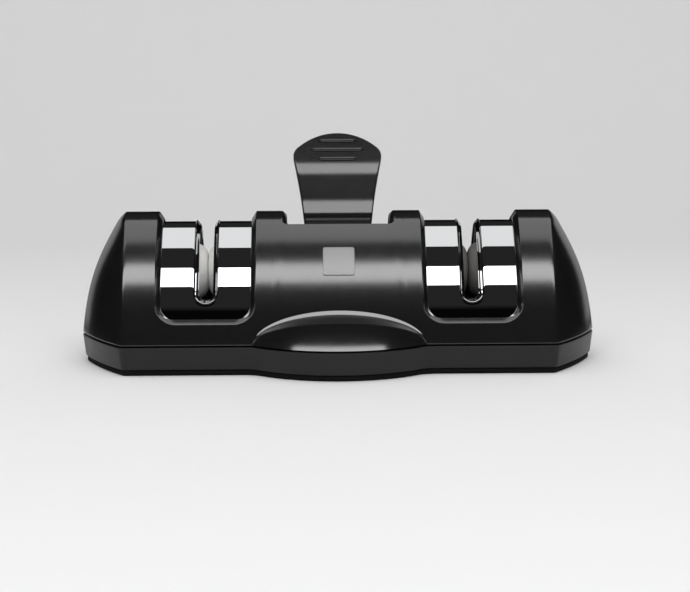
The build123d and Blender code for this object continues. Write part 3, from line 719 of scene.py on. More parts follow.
def pad_grids(sizes):
    """The rubber pad: a side with round edges carried round the plan, and a ring round the cup."""
    loop, normal = plan_outline(sizes)
    top, soft = sizes.pad_height, SOFT_EDGE
    side = (sizes.seam_height - sizes.seam_gap / 2 - top) * math.tan(sizes.base_draft) + PAD_MARGIN
    skin = [(side + soft * inwards, top - soft * down) for inwards, down in PAD_EDGE]
    skin += [(side + soft * inwards, soft * up) for inwards, up in reversed(PAD_EDGE)]
    hole = [(RECESS_RADIUS, 0.0), (RECESS_RADIUS, top)]
    rows = np.concatenate((swept_rows(loop, normal, skin), circle_rows(loop, hole)))
    return [(np.concatenate((rows, rows[:1])), True)]


# Where the cup's flank meets its hub, and the corner that its curve leans to, from the hub at the flank.
CUP_FLANK_END = np.array((0.0, 0.0012))
CUP_FLANK_CORNER = np.array((0.0006, -0.0008))


def cup_grids(sizes):
    """The suction cup turned about Z: a hollow arc below, a round lip, a flank that thickens upwards in a
    soft curve, and the hub."""
    rim, ground, lip = sizes.cup_radius, CUP_GROUND, CUP_LIP / 2
    share_out = np.linspace(0, 1, 30)
    rise = (CUP_HOLLOW - ground) * (1 - share_out**2)
    hollow = points((rim - CUP_SEAT) * share_out, ground + rise)
    turn = np.linspace(-math.pi / 2, math.pi / 2, 9)
    edge = points(rim - lip + lip * np.cos(turn), ground + lip + lip * np.sin(turn))
    meet = np.array((CUP_HUB, CUP_FLANK))
    flank = curve_between(edge[-1], meet + CUP_FLANK_CORNER, meet + CUP_FLANK_END, 20)
    hub = [(CUP_HUB, CUP_TOP - CUP_EDGE), (CUP_HUB - CUP_EDGE, CUP_TOP)]
    return turned(np.concatenate((hollow, edge, flank[1:], hub, [(0, CUP_TOP)])), 128)


def cover_grids(sizes):
    """A cover at the middle of X: a field of the arch moved inwards, pierced by a slot with round ends,
    with a bead round the slot that rises at its edge and slopes into the slot."""
    arch = arch_of(sizes, COVER_INSET)
    across, along, steps = 24, 160, 18
    half, wall = COVER_WIDTH / 2, COVER_WALL
    low = float(arch_run(arch, sizes.slot_bottom))
    slot = sizes.slot_width / 2

    def border(inset):
        end = float(arch_run(arch, COVER_BOTTOM, inset))
        return field_border(straight(-half), straight(half), -end, end, across, along)

    def outline(grow, inset):
        wide, end = slot + grow, low + grow
        return rounded_outline(wide, -end, end, wide - ROUND_END_MARGIN, across, along)

    bead, rise = sizes.bead_width, sizes.bead_rise
    rim = rim_rows(BEAD_FOOT, bead) + [(bead + BEAD_SIDE[0], -BEAD_SIDE[1] * rise)]
    rim += rim_rows(BEAD_CREST, bead, -rise)
    slope = np.linspace(rim[-1], (BEAD_END[0], BEAD_END[1] * wall), 5)[1:]
    rim += [tuple(row) for row in slope.tolist()] + [(0.0, wall)]
    field = pierced_field(arch, border, outline, rim, wall, steps)
    return [(field, True), (np.concatenate((field[:1], field[-1:])), True)]


def badge_grids(sizes):
    """The blank plate: a rounded rectangle of the arch's front from its middle to its outline, with a
    soft edge, and its back inside the wall."""
    arch = arch_of(sizes)
    middle = -float(arch_run(arch, sizes.badge_middle))
    half_run = float(arch_run(arch, sizes.badge_middle - sizes.badge_height / 2)) + middle
    soft, front = BADGE_EDGE, -BADGE_RISE
    back = front + BADGE_WALL
    rows = [(share_out, front, 0.0) for share_out in (0.0, 0.35, 0.7, 0.9)]
    rows += [(1.0, front + soft * down, -soft * inwards) for inwards, down in PAD_EDGE]
    rows += [(1.0, back, 0.0), (0.0, back, 0.0)]
    grid = []
    for share_out, inset, grow in rows:
        half, reach, corner = sizes.badge_width / 2 + grow, half_run + grow, BADGE_CORNER + grow
        x, run = rounded_outline(half, -reach, reach, corner, 20, 18)
        grid.append(on_arch(arch, x * share_out, middle + run * share_out, inset))
    return [(np.stack(grid), True)]


# Extra rows on a disc's inner and outer face, from its groove and from its bore.
DISC_FACE_ROWS = (0.0008, 0.0012)


def disc_grids(sizes):
    """A right-hand disc turned about its axle at the middle of X: the bore, the face at the slot's
    middle, an arc up to the crown that makes the knife groove, an arc over the rim and the far face."""
    inner, crown, radius = DISC_GAP / 2, sizes.disc_crown, sizes.disc_radius
    groove, width, bore = sizes.disc_groove, sizes.disc_width, AXLE_RADIUS
    run, rise = crown - inner, radius - groove
    big, small = (run**2 + rise**2) / (2 * rise), width - crown
    t = np.linspace(math.asin(min(1.0, run / big)), 0, 28)
    inside = points(crown - big * np.sin(t), radius - big + big * np.cos(t))
    t = np.linspace(0, math.pi / 2, 16)[1:]
    outside = points(crown + small * np.sin(t), radius - small + small * np.cos(t))
    face = [(inner, bore), (inner, groove - DISC_FACE_ROWS[0])]
    back = [(width, bore + DISC_FACE_ROWS[1]), (width, bore), (inner, bore)]
    return turned_along_x(np.concatenate((face, inside, outside, back)), sizes.axle_height, 128)


# The blade's bends as shares of its lean and of its height, and each rib's place between the last bend and
# the tip as a share, with half its length.
LEVER_BENDS = ((0, 0), (0, 0.225), (0.176, 0.361), (0.439, 0.623), (0.555, 0.715), (1, 1))
RIBS = ((0.15, 0.0060), (0.45, 0.0082), (0.74, 0.0058))


def lever_face(sizes, height):
    """Depth of the blade's front face at a height: straight runs between the bends, averaged over a
    band of heights round each point so that every bend becomes a soft curve."""
    bends = np.array(LEVER_BENDS)
    rise = sizes.lever_root + bends[:, 1] * (sizes.lever_tip - sizes.lever_root)
    depth = sizes.lever_front + bends[:, 0] * sizes.lever_sweep
    slope = (depth[-1] - depth[-2]) / (rise[-1] - rise[-2])
    rise = np.append(rise, rise[-1] + sizes.lever_sweep)
    depth = np.append(depth, depth[-1] + sizes.lever_sweep * slope)
    band = np.linspace(-1, 1, 41) * LEVER_BEND
    return np.interp(np.asarray(height)[..., None] + band, rise, depth).mean(axis=-1)


# The outer share of the blade's half width that has more rows, and how late its rows take the top's curve.
BLADE_EDGE_SHARE = 0.06
BLADE_LIFT_POWER = 6


def blade_grids(sizes):
    """The lever's blade. Its side as seen from the front is a hollow arc from the neck to a round corner,
    and its top a circle's arc over the tip; a point's width is a share of the side's, its height gains a
    share of the top's rise, and its depth is the bent face's, or that moved back and down at the rear."""
    root = sizes.lever_root - LEVER_DROP
    neck, wide, corner = sizes.lever_neck, sizes.lever_wide, sizes.lever_corner
    ease = LEVER_ROUND
    crown = sizes.lever_tip - corner
    radius = (wide**2 + crown**2) / (2 * crown)

    def top_height(x):
        return sizes.lever_tip - radius + np.sqrt(radius**2 - x**2)

    top = np.array((wide - ease, top_height(wide - ease)))
    middle = np.array(((neck + wide) / 2 - LEVER_HOLLOW, (root + corner) / 2))
    start, end = np.array((neck, root)), np.array((wide, corner))
    side = curve_between(start, 2 * middle - (start + end) / 2, end, 72)
    side = side[side[:, 1] < corner - ease]
    side = np.concatenate((side, curve_between(side[-1], end, top, 9)[1:]))
    rounding = 1 - BLADE_EDGE_SHARE * np.linspace(0, 1, 9) ** 2
    v = np.unique(np.concatenate((np.linspace(-1, 1, 41), rounding, -rounding)))
    lift = np.clip((side[:, 1] - root) / (top[1] - root), 0, 1) ** BLADE_LIFT_POWER
    x = side[:, :1] * v
    z = side[:, 1:] + lift[:, None] * (top_height(top[0] * v) - top[1])
    over = np.clip((np.abs(x) - side[:, :1]) / LEVER_EDGE + 1, 0, 1)
    face = lever_face(sizes, z)
    front = points(x, face + LEVER_EDGE * (1 - np.sqrt(1 - over**2)), z)
    back = points(x, face, z) + np.array((0, sizes.lever_wall, -LEVER_DROP))
    loop = np.concatenate((front, back[:, ::-1]), axis=1)
    caps = [np.stack((front[i], back[i])) for i in (0, -1)]
    return [(loop, True)] + [(cap, False) for cap in caps]


def rib_grids(sizes):
    """The ribs across the thumb pad: a circle carried along X on the blade's face, whose radius falls to
    nothing at both ends as a quarter ellipse."""
    bends = np.array(LEVER_BENDS)
    grids = []
    for place, half in RIBS:
        part = bends[-2, 1] + place * (bends[-1, 1] - bends[-2, 1])
        height = sizes.lever_root + part * (sizes.lever_tip - sizes.lever_root)
        taper = RIB_END * (1 - np.cos(np.linspace(0, math.pi / 2, 8)))
        x = np.concatenate((taper - half, np.linspace(RIB_END - half, 0, 12)[1:]))
        fade = np.clip((half + x) / RIB_END, 0, 1)
        radius = sizes.rib_radius * np.sqrt(1 - (1 - fade) ** 2)
        profile = np.column_stack((np.concatenate((x, -x[-2::-1])), np.concatenate((radius, radius[-2::-1]))))
        grids += moved(turned_along_x(profile, height, 24), y=float(lever_face(sizes, height)))
    return grids


# How far a cheek stays behind the blade's face, and the share that its outline keeps at its soft edges.
CHEEK_SETBACK = 0.0002
CHEEK_PULL = 0.94


def cheek_grids(sizes):
    """The right cheek of the lever: the round cam with straight flanks that leave it without a kink and
    meet the blade's neck, pushed along X with soft edges."""
    centre = np.array((CAM_DEPTH, CAM_HEIGHT))
    top = sizes.lever_root + sizes.lever_wall
    front, back = sizes.lever_front + CHEEK_SETBACK, sizes.lever_front + sizes.lever_wall
    corners = np.array(((front, top), (back, top)))

    def bearing(corner, side):
        away = corner - centre
        return math.atan2(away[1], away[0]) + side * math.acos(CAM_RADIUS / np.linalg.norm(away))

    turn = np.linspace(bearing(corners[0], 1), bearing(corners[1], -1) + 2 * math.pi, 64)
    arc = centre + CAM_RADIUS * points(np.cos(turn), np.sin(turn))
    up = np.linspace(arc[-1], corners[1], 8)[1:]
    across = np.linspace(corners[1], corners[0], 5)[1:]
    down = np.linspace(corners[0], arc[0], 8)[1:-1]
    loop = np.concatenate((arc, up, across, down))
    middle = loop.mean(axis=0)
    near, far, soft = CHEEK_INNER, sizes.lever_neck, SOFT_EDGE
    rows = [(near, 0), (near, CHEEK_PULL), (near + soft, 1), (far - soft, 1), (far, CHEEK_PULL), (far, 0)]
    rings = [np.column_stack((np.full(len(loop), x), middle + (loop - middle) * out)) for x, out in rows]
    return [(np.stack(rings), True)]


def put(tree, socket, value):
    """Sets a socket to a value, or joins it to another node's output."""
    if isinstance(value, bpy.types.NodeSocket):
        tree.links.new(value, socket)
    else:
        socket.default_value = value


def add_node(tree, kind, settings=(), **inputs):
    """A shader node with its settings. Inputs, numbered under places or named with _ for a space, are put
    to values or outputs."""
    node = tree.nodes.new(kind)
    for name, value in settings:
        setattr(node, name, value)
    for place, value in inputs.pop("places", {}).items():
        put(tree, node.inputs[place], value)
    for name, value in inputs.items():
        put(tree, node.inputs[name.replace("_", " ")], value)
    return node


def arithmetic(tree, operation, first, second):
    """The result of a maths node on two values."""
    node = add_node(tree, "ShaderNodeMath", [("operation", operation)], places={0: first, 1: second})
    return node.outputs[0]


def around(tree, middle, reach):
    """A middle value less a reach, and the middle value plus it."""
    return [arithmetic(tree, operation, middle, reach) for operation in ("SUBTRACT", "ADD")]


def spread(tree, value, low, high, start=0.0, end=1.0):
    """A value from start to end carried to the range from low to high."""
    limits = {"From_Min": start, "From_Max": end, "To_Min": low, "To_Max": high}
    return add_node(tree, "ShaderNodeMapRange", Value=value, **limits).outputs["Result"]


def tint(tree, colour, tone):
    """A colour times a tone."""
    node = add_node(tree, "ShaderNodeVectorMath", [("operation", "SCALE")], places={0: colour}, Scale=tone)
    return node.outputs[0]


def noise(tree, place, scale, detail, roughness=0.5):
    """Noise from 0 to 1 over a place."""
    values = {"Scale": scale, "Detail": detail, "Roughness": roughness}
    return add_node(tree, "ShaderNodeTexNoise", Vector=place, **values).outputs["Fac"]


def coordinate(tree, space, axis):
    """The coordinate along one axis of a space."""
    place = tree.nodes.new("ShaderNodeTexCoord").outputs[space]
    return add_node(tree, "ShaderNodeSeparateXYZ", Vector=place).outputs[axis]


def moulded_grain(group, inside, place):
    """Moulded or cast skin: slow cloudiness in the colour, patches of gloss, and a fine pebble height."""
    tone = spread(group, noise(group, place, scale=55.0, detail=3.0), *around(group, 1.0, inside["Cloud"]))
    limits = around(group, inside["Roughness"], inside["Gloss spread"])
    rough = spread(group, noise(group, place, scale=240.0, detail=4.0), *limits)
    pebbles = noise(group, place, scale=inside["Scale"], detail=2.0)
    return tint(group, inside["Colour"], tone), rough, pebbles


def edge_wear(group, inside, place):
    """Wear on convex edges: the edge's sharpness, broken up by noise, mixes in a worn colour."""
    edge = group.nodes.new("ShaderNodeNewGeometry").outputs["Pointiness"]
    convex = spread(group, edge, low=0.0, high=1.0, start=0.53, end=0.62)
    mask = arithmetic(group, "MULTIPLY", convex, noise(group, place, scale=900.0, detail=3.0))
    mask = arithmetic(group, "MULTIPLY", mask, inside["Amount"])
    colours = {0: mask, 6: inside["Colour"], 7: inside["Worn colour"]}
    return (add_node(group, "ShaderNodeMix", [("data_type", "RGBA")], places=colours).outputs[2],)


def machined_lines(group, inside, place):
    """Metal skin: fine lines across one axis of the piece, in gloss, tone and height."""
    vectors = {0: place, 1: inside["Stretch"]}
    lines = add_node(group, "ShaderNodeVectorMath", [("operation", "MULTIPLY")], places=vectors)
    streak = noise(group, lines.outputs[0], scale=1.0, detail=5.0, roughness=0.7)
    colour = tint(group, inside["Colour"], spread(group, streak, low=0.86, high=1.08))
    limits = [arithmetic(group, "MULTIPLY", inside["Roughness"], part) for part in (0.75, 1.3)]
    return colour, spread(group, streak, *limits), streak


def abrasive_grit(group, inside, place):
    """Sintered abrasive: small grains of lighter and darker tone and their rough height."""
    grain = add_node(group, "ShaderNodeTexVoronoi", Vector=place, Scale=inside["Scale"]).outputs["Distance"]
    cloud = noise(group, place, scale=400.0, detail=5.0)
    both = arithmetic(group, "MULTIPLY", arithmetic(group, "ADD", grain, cloud), 0.6)
    tone = spread(group, both, *around(group, 1.0, inside["Contrast"]))
    return tint(group, inside["Colour"], tone), spread(group, cloud, low=0.55, high=0.85), grain


# Each shared group with what fills it, its inputs and its outputs.
SKIN = ("Colour", "Roughness", "Height")
GROUPS = {
    "Moulded grain": (moulded_grain, ("Colour", "Cloud", "Roughness", "Gloss spread", "Scale"), SKIN),
    "Edge wear": (edge_wear, ("Colour", "Worn colour", "Amount"), ("Colour",)),
    "Machined lines": (machined_lines, ("Colour", "Roughness", "Stretch"), SKIN),
    "Abrasive grit": (abrasive_grit, ("Colour", "Contrast", "Scale"), SKIN),
}
SOCKETS = {"Colour": "NodeSocketColor", "Worn colour": "NodeSocketColor", "Stretch": "NodeSocketVector"}
WORN_COLOUR = (0.2, 0.2, 0.2, 1)


def new_group(name, fill, inputs, outputs):
    """A shared group in object space, with named inputs and outputs."""
    group = bpy.data.node_groups.new(name, "ShaderNodeTree")
    for way, labels in (("INPUT", inputs), ("OUTPUT", outputs)):
        for label in labels:
            kind = SOCKETS.get(label, "NodeSocketFloat")
            group.interface.new_socket(name=label, in_out=way, socket_type=kind)
    place = group.nodes.new("ShaderNodeTexCoord").outputs["Object"]
    results = fill(group, group.nodes.new("NodeGroupInput").outputs, place)
    leave = group.nodes.new("NodeGroupOutput")
    for label, result in zip(outputs, results):
        group.links.new(result, leave.inputs[label])
    return group


def use_group(tree, name, **inputs):
    """The outputs of a shared group placed in a material with its own values. Its first use makes it."""
    group = bpy.data.node_groups.get(name) or new_group(name, *GROUPS[name])
    return add_node(tree, "ShaderNodeGroup", [("node_tree", group)], **inputs).outputs


def new_finish(name, group, values, depth=0.0, wear=None, fade=None, **shader_values):
    """A material, or the one already made under its name: a shared group's colour and gloss, wear on the
    edges, painted shade that darkens the colour along Y, the group's height as a bump of a depth, and the
    shader's values."""
    name = "finish_" + name
    if name in bpy.data.materials:
        return bpy.data.materials[name]
    material = bpy.data.materials.new(name)
    material.use_nodes = True
    tree = material.node_tree
    skin = use_group(tree, group, **values)
    colour = skin["Colour"]
    if wear is not None:
        worn = use_group(tree, "Edge wear", Colour=colour, Worn_colour=WORN_COLOUR, Amount=wear)
        colour = worn["Colour"]
    # Painted shade: a tone along Y darkens the colour, standing in for light that falls off towards the back.
    if fade:
        colour = tint(tree, colour, spread(tree, coordinate(tree, "Object", "Y"), **fade))
    if depth:
        bump = add_node(tree, "ShaderNodeBump", Strength=1.0, Distance=depth, Height=skin["Height"])
        shader_values["Normal"] = bump.outputs["Normal"]
    shader_values.update({"Base_Color": colour, "Roughness": skin["Roughness"]})
    for label, value in shader_values.items():
        put(tree, tree.nodes["Principled BSDF"].inputs[label.replace("_", " ")], value)
    return material


def grain_values(colour, rough, cloud, gloss_spread, grain):
    """The inputs of the moulded grain."""
    values = {"Colour": colour, "Cloud": cloud, "Roughness": rough}
    return {**values, "Gloss_spread": gloss_spread, "Scale": grain}


def moulded_finish(name, colour, rough, grain=2600.0, depth=0.000004, wear=0.04, specular=0.5, ior=1.5):
    """Moulded plastic or rubber with a fine grain and a little wear on its edges."""
    values = grain_values(colour, rough, cloud=0.12, gloss_spread=rough / 8, grain=grain)
    return new_finish(name, "Moulded grain", values, depth, wear, Specular_IOR_Level=specular, IOR=ior)


def metal_finish(name, colour, rough, stretch):
    """Brushed or turned metal with fine lines."""
    values = {"Colour": colour, "Roughness": rough, "Stretch": stretch}
    return new_finish(name, "Machined lines", values, depth=0.000004, Metallic=1.0)


def chrome_finish(name, colour, rough):
    """Mirror plating: a clear mirror with faint patches of haze."""
    values = grain_values(colour, rough, cloud=0.02, gloss_spread=rough / 3, grain=300.0)
    return new_finish(name, "Moulded grain", values, Metallic=1.0)


def paper_finish(name, colour):
    """Smooth studio paper with hardly any cloudiness, and painted shade that makes it a little darker towards
    the back.
    """
    values = grain_values(colour, rough=0.85, cloud=0.006, gloss_spread=0.02, grain=300.0)
    # Painted shade: the paper's colour falls from 0.94 at the front to 0.815 at the back and over the
    # backdrop.
    fade = {"low": 0.94, "high": 0.815, "start": -0.23, "end": 0.3}
    return new_finish(name, "Moulded grain", values, fade=fade, Specular_IOR_Level=0.0)


def grit_finish(name, colour, contrast, grain):
    """Abrasive disc, fine ceramic or coarse grit."""
    values = {"Colour": colour, "Contrast": contrast, "Scale": grain}
    return new_finish(name, "Abrasive grit", values, depth=0.00006, Specular_IOR_Level=0.35)


def finish_of(slot):
    """The material of one of the record's slots, made with the colours and gloss of the panel."""
    look = bpy.context.scene.sharpener_finishes
    satin = {"specular": look.plastic_shine, "ior": 1.8, "depth": 0.000002, "wear": 0.0}
    rubber = {"grain": 1800.0, "depth": 0.00003, "specular": 0.1}
    turned_metal = {"rough": 0.28, "stretch": (7000.0, 500.0, 500.0)}
    make, values = {
        "housing_plastic": (moulded_finish, {"rough": look.housing_gloss, **satin}),
        "lever_plastic": (moulded_finish, {"rough": look.lever_gloss, "specular": 0.38, "ior": 1.8}),
        "base_plastic": (moulded_finish, {"rough": look.base_gloss, "specular": 0.33}),
        "inner_plastic": (moulded_finish, {"rough": 0.55, "wear": 0.05}),
        "foot_rubber": (moulded_finish, {"rough": 0.72, **rubber}),
        "cup_rubber": (moulded_finish, {"rough": 0.45, "grain": 1200.0}),
        "cover_chrome": (chrome_finish, {"rough": look.chrome_gloss}),
        "badge_metal": (metal_finish, {"rough": 0.42, "stretch": (300.0, 9000.0, 9000.0)}),
        "inner_steel": (metal_finish, turned_metal),
        "bush_brass": (metal_finish, turned_metal),
        "screw_steel": (metal_finish, {"rough": 0.34, "stretch": (900.0, 900.0, 6000.0)}),
        "fine_ceramic": (grit_finish, {"contrast": 0.08, "grain": 4200.0}),
        "coarse_abrasive": (grit_finish, {"contrast": 0.45, "grain": 2600.0}),
    }[slot]
    return make(slot, (*getattr(look, slot), 1), **values)


class SHARPENER_OT_housing(bpy.types.Operator):
    """Build the arched housing with its windows, saddle and belly bosses"""

    bl_idname = "sharpener.housing"
    bl_label = "Housing"

    def execute(self, context):
        grids = housing_grids(context.scene.sharpener_sizes)
        show_piece("housing", grids, "housing_plastic", "frame", "upper_housing")
        return {"FINISHED"}


class SHARPENER_OT_base(bpy.types.Operator):
    """Build the base and the rubber pad under it"""

    bl_idname = "sharpener.base"
    bl_label = "Base and Pad"

    def execute(self, context):
        sizes = context.scene.sharpener_sizes
        show_piece("base", base_grids(sizes), "base_plastic", "frame", "base_shell")
        show_piece("pad", pad_grids(sizes), "foot_rubber", "frame", "foot_pad")
        return {"FINISHED"}


class SHARPENER_OT_cup(bpy.types.Operator):
    """Build the suction cup, which rides on no body, with its lip on the ground"""

    bl_idname = "sharpener.cup"
    bl_label = "Suction Cup"

    def execute(self, context):
        sizes = context.scene.sharpener_sizes
        piece = show_piece("cup", cup_grids(sizes), "cup_rubber", None, "suction_cup")
        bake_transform(piece)
        return {"FINISHED"}


class SHARPENER_OT_covers(bpy.types.Operator):
    """Build the two plated covers with their beaded knife slots"""

    bl_idname = "sharpener.covers"
    bl_label = "Slot Covers"

    def execute(self, context):
        sizes = context.scene.sharpener_sizes
        for side, stage in ((-1, "fine"), (1, "coarse")):
            grids = moved(cover_grids(sizes), side * sizes.station)
            show_piece(stage + "_cover", grids, "cover_chrome", "frame", stage + "_slot_cover", sharp=50.0)
        return {"FINISHED"}


class SHARPENER_OT_discs(bpy.types.Operator):
    """Build the fine and the coarse pair of discs"""

    bl_idname = "sharpener.discs"
    bl_label = "Discs"

    def execute(self, context):
        sizes = context.scene.sharpener_sizes
        right = disc_grids(sizes)
        for side, stage, slot in ((-1, "fine", "fine_ceramic"), (1, "coarse", "coarse_abrasive")):
            for hand, grids in (("left", mirrored(right, x=-1)), ("right", right)):
                name = f"{stage}_{hand}_disc"
                show_piece(name + "_shape", moved(grids, side * sizes.station), slot, stage + "_wheels", name)
        return {"FINISHED"}


class SHARPENER_OT_lever(bpy.types.Operator):
    """Build the lever: a bevelled blade, its ribs and its two cheeks"""

    bl_idname = "sharpener.lever"
    bl_label = "Lever"

    def execute(self, context):
        sizes = context.scene.sharpener_sizes
        blade = show_piece("lever_blade", blade_grids(sizes), "lever_plastic", "lever", "suction_lever")
        bevel = blade.modifiers.new("edges", "BEVEL")
        bevel.width = LEVER_BEVEL
        bevel.segments = 3
        bevel.limit_method = "ANGLE"
        bevel.angle_limit = math.radians(40)
        bevel.harden_normals = True
        cheek = cheek_grids(sizes)
        extras = rib_grids(sizes) + cheek + mirrored(cheek, x=-1)
        show_piece("lever_ribs_and_cheeks", extras, "lever_plastic", "lever", "suction_lever")
        return {"FINISHED"}


class SHARPENER_OT_badge(bpy.types.Operator):
    """Build the blank plate on the front"""

    bl_idname = "sharpener.badge"
    bl_label = "Blank Plate"

    def execute(self, context):
        grids = badge_grids(context.scene.sharpener_sizes)
        show_piece("badge", grids, "badge_metal", "frame", "badge_plate")
        return {"FINISHED"}


class SHARPENER_OT_inner_parts(bpy.types.Operator):
    """Give the pieces that stay as they are their finishes"""

    bl_idname = "sharpener.inner_parts"
    bl_label = "Inner Parts"

    def execute(self, context):
        for row in frame["record"]["subparts"]:
            node = frame["nodes"][row["node"]]
            if node.hide_render:
                continue
            finish = finish_of(row["material_slot"])
            if not node.material_slots:
                node.data.materials.append(finish)
            for slot in node.material_slots:
                slot.material = finish
        return {"FINISHED"}


class SharpenerStage(bpy.types.PropertyGroup):
    """The studio round the sharpener."""

    distance: length("Camera distance", 546.8, "From the camera to the middle of the picture")
    elevation: angle("Camera elevation", 8.98, "Height of the camera above the horizon")
    yaw: angle("Camera yaw", 1.0, "How far the camera stands to the left")
    roll: angle("Camera roll", 0.22, "Turn of the camera about its view")
    aim_x: length("Aim X", 2.45, "Middle of the picture along X")
    aim_z: length("Aim height", 19.83, "Height of the middle of the picture")
    focal: FloatProperty(
        name="Lens", description="Focal length in millimetres", default=91.05, subtype="DISTANCE_CAMERA"
    )
    key_energy: watts("Front light", 6.5, "Power of the front softbox")
    top_energy: watts("Top light", 6.3, "Power of the overhead diffuser")
    wash_energy: watts("Floor wash", 6.6, "Power of the wide light over the floor")
    front_energy: watts("Front fill", 6.0, "Power of the light beside the camera")
    glow_energy: watts("Edge glow", 0.7, "Power of each faint light behind the backdrop")
    fill: FloatProperty(name="Fill", description="Strength of the dark room's faint light", default=0.027)
    floor_colour: paint("Floor", (0.88, 0.88, 0.88), "Colour of the floor")
    strip: length("Mirrored floor", 130.0, "Half the width of the floor that the pieces mirror")
    floor_width: length("Floor width", 5000.0, "Half the width of the whole floor")
    floor_front: length("Floor front", -3000.0, "Front edge of the floor along Y")
    floor_back: length("Floor back", 300.0, "Place along Y where the backdrop begins to rise")
    sweep: length("Sweep", 400.0, "Radius between the floor and the backdrop")
    backdrop_top: length("Backdrop top", 2500.0, "Height of the backdrop")
    paper_drop: length("Paper drop", 0.05, "How far the paper lies under the ground plane")


# Each light with its power's name, its width and height in metres, its bearing from the front and its
# elevation in degrees, its distance in metres, and whether the pieces mirror it.
LIGHTS = (
    ("front_softbox", "key_energy", (1.8, 0.25), (0, 52.5), 1.2, True),
    ("top_diffuser", "top_energy", (2.0, 0.83), (180, 89), 1.2, True),
    ("floor_wash", "wash_energy", (2.0, 2.0), (0, 70), 1.5, False),
    ("front_fill", "front_energy", (1.0, 1.0), (0, 20), 1.2, False),
    ("edge_glow", "glow_energy", (0.9, 0.45), (-152, 2), 1.5, True),
    ("edge_glow", "glow_energy", (0.9, 0.45), (152, 2), 1.5, True),
)
LIGHT_TARGET = Vector((0, 0, 0.03))


def soft_light(name, energy, size, bearing, reach, mirrored_light):
    """A rectangular light that looks at the sharpener from a bearing and an elevation."""
    data = bpy.data.lights.new(name, "AREA")
    data.shape = "RECTANGLE"
    data.size, data.size_y = size
    data.energy = energy
    light = bpy.data.objects.new(name, data)
    side, up = np.radians(bearing)
    way = Vector((math.sin(side) * math.cos(up), -math.cos(side) * math.cos(up), math.sin(up)))
    light.location = LIGHT_TARGET + reach * way
    light.rotation_euler = way.to_track_quat("Z", "Y").to_euler()
    light.visible_glossy = mirrored_light
    bpy.context.scene.collection.objects.link(light)


def paper_sheet(name, places, section, stage, mirrored_sheet=False):
    """A smooth sheet of studio paper: a section of depths and heights carried along X to the places."""
    y, z = section
    rows = [points(place, y, z - stage.paper_drop) for place in places]
    mesh = bpy.data.meshes.new(name)
    faces = quads(len(places), len(y), False)
    mesh.from_pydata(np.concatenate(rows).tolist(), [], faces.tolist())
    mesh.polygons.foreach_set("use_smooth", np.ones(len(mesh.polygons), dtype=bool))
    sheet = bpy.data.objects.new(name, mesh)
    bpy.context.scene.collection.objects.link(sheet)
    mesh.materials.append(paper_finish("paper", (*stage.floor_colour, 1)))
    sheet.visible_glossy = mirrored_sheet


def build_paper(stage):
    """The floor, of which the pieces mirror only the strip under them, and the backdrop's round sweep."""
    level = np.array((stage.floor_front, 0.0, stage.floor_back)), np.zeros(3)
    paper_sheet("floor", (-stage.strip, stage.strip), level, stage, mirrored_sheet=True)
    paper_sheet("floor_left", (-stage.floor_width, -stage.strip), level, stage)
    paper_sheet("floor_right", (stage.strip, stage.floor_width), level, stage)
    turn = np.linspace(0, math.pi / 2, 24)
    y = np.append(stage.floor_back + stage.sweep * np.sin(turn), stage.floor_back + stage.sweep)
    z = np.append(stage.sweep - stage.sweep * np.cos(turn), stage.backdrop_top)
    paper_sheet("backdrop", (-stage.floor_width, stage.floor_width), (y, z), stage)


def build_world(stage):
    """A dark room whose faint light is weaker below the horizon."""
    world = bpy.data.worlds.new("studio")
    world.use_nodes = True
    tree = world.node_tree
    sky = tree.nodes["Background"].inputs
    height = coordinate(tree, "Generated", "Z")
    dusk = spread(tree, height, low=0.1, high=1.0, start=0.535, end=0.575)
    put(tree, sky["Color"], dusk)
    put(tree, sky["Strength"], stage.fill)
    bpy.context.scene.world = world


def build_camera(stage):
    """The camera on a sphere about its aim, turned to it."""
    data = bpy.data.cameras.new("camera")
    data.sensor_width = 36.0
    data.lens = stage.focal
    data.clip_start = 0.01
    camera = bpy.data.objects.new("camera", data)
    level = stage.distance * math.cos(stage.elevation)
    camera.location = (
        stage.aim_x - level * math.sin(stage.yaw),
        -level * math.cos(stage.yaw),
        stage.aim_z + stage.distance * math.sin(stage.elevation),
    )
    camera.rotation_euler = (math.pi / 2 - stage.elevation, stage.roll, -stage.yaw)
    bpy.context.scene.collection.objects.link(camera)
    bpy.context.scene.camera = camera


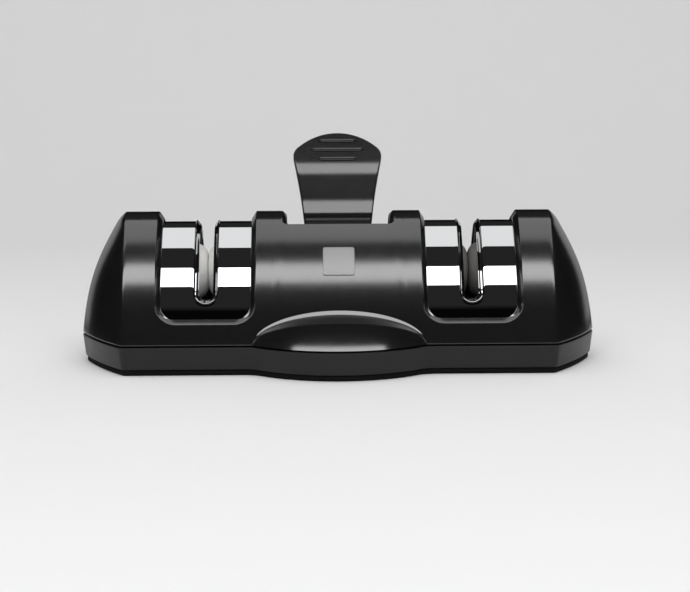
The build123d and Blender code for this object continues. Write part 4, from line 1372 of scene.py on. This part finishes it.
class SHARPENER_OT_stage(bpy.types.Operator):
    """Build the floor, the lights and the camera"""

    bl_idname = "sharpener.stage"
    bl_label = "Stage"

    def execute(self, context):
        stage = context.scene.sharpener_stage
        build_paper(stage)
        for name, power, size, bearing, reach, mirrored_light in LIGHTS:
            soft_light(name, getattr(stage, power), size, bearing, reach, mirrored_light)
        build_world(stage)
        build_camera(stage)
        context.scene.view_settings.view_transform = "Standard"
        return {"FINISHED"}


PIECES = (
    SHARPENER_OT_housing,
    SHARPENER_OT_base,
    SHARPENER_OT_cup,
    SHARPENER_OT_covers,
    SHARPENER_OT_discs,
    SHARPENER_OT_lever,
    SHARPENER_OT_badge,
    SHARPENER_OT_inner_parts,
    SHARPENER_OT_stage,
)


class SHARPENER_PT_panel(bpy.types.Panel):
    """Lists the pieces of the sharpener"""

    bl_idname = "SHARPENER_PT_panel"
    bl_label = "Roller Knife Sharpener"
    bl_space_type = "VIEW_3D"
    bl_region_type = "UI"
    bl_category = "Sharpener"

    def draw(self, context):
        for piece in PIECES:
            self.layout.operator(piece.bl_idname)
        for group in ("sharpener_sizes", "sharpener_finishes", "sharpener_stage"):
            values = getattr(context.scene, group)
            box = self.layout.box()
            for name in values.__annotations__:
                box.prop(values, name)


CLASSES = (SharpenerSizes, SharpenerFinishes, SharpenerStage) + PIECES + (SHARPENER_PT_panel,)


def register():
    """Registers the classes and hangs their values on the scene."""
    for cls in CLASSES:
        bpy.utils.register_class(cls)
    bpy.types.Scene.sharpener_sizes = PointerProperty(type=SharpenerSizes)
    bpy.types.Scene.sharpener_finishes = PointerProperty(type=SharpenerFinishes)
    bpy.types.Scene.sharpener_stage = PointerProperty(type=SharpenerStage)


def unregister():
    """Takes the values off the scene and the classes out again."""
    del bpy.types.Scene.sharpener_stage
    del bpy.types.Scene.sharpener_finishes
    del bpy.types.Scene.sharpener_sizes
    for cls in reversed(CLASSES):
        bpy.utils.unregister_class(cls)


def main():
    """Builds every piece in order."""
    register()
    for piece in PIECES:
        group, name = piece.bl_idname.split(".")
        getattr(getattr(bpy.ops, group), name)()


if __name__ == "__main__":
    main()
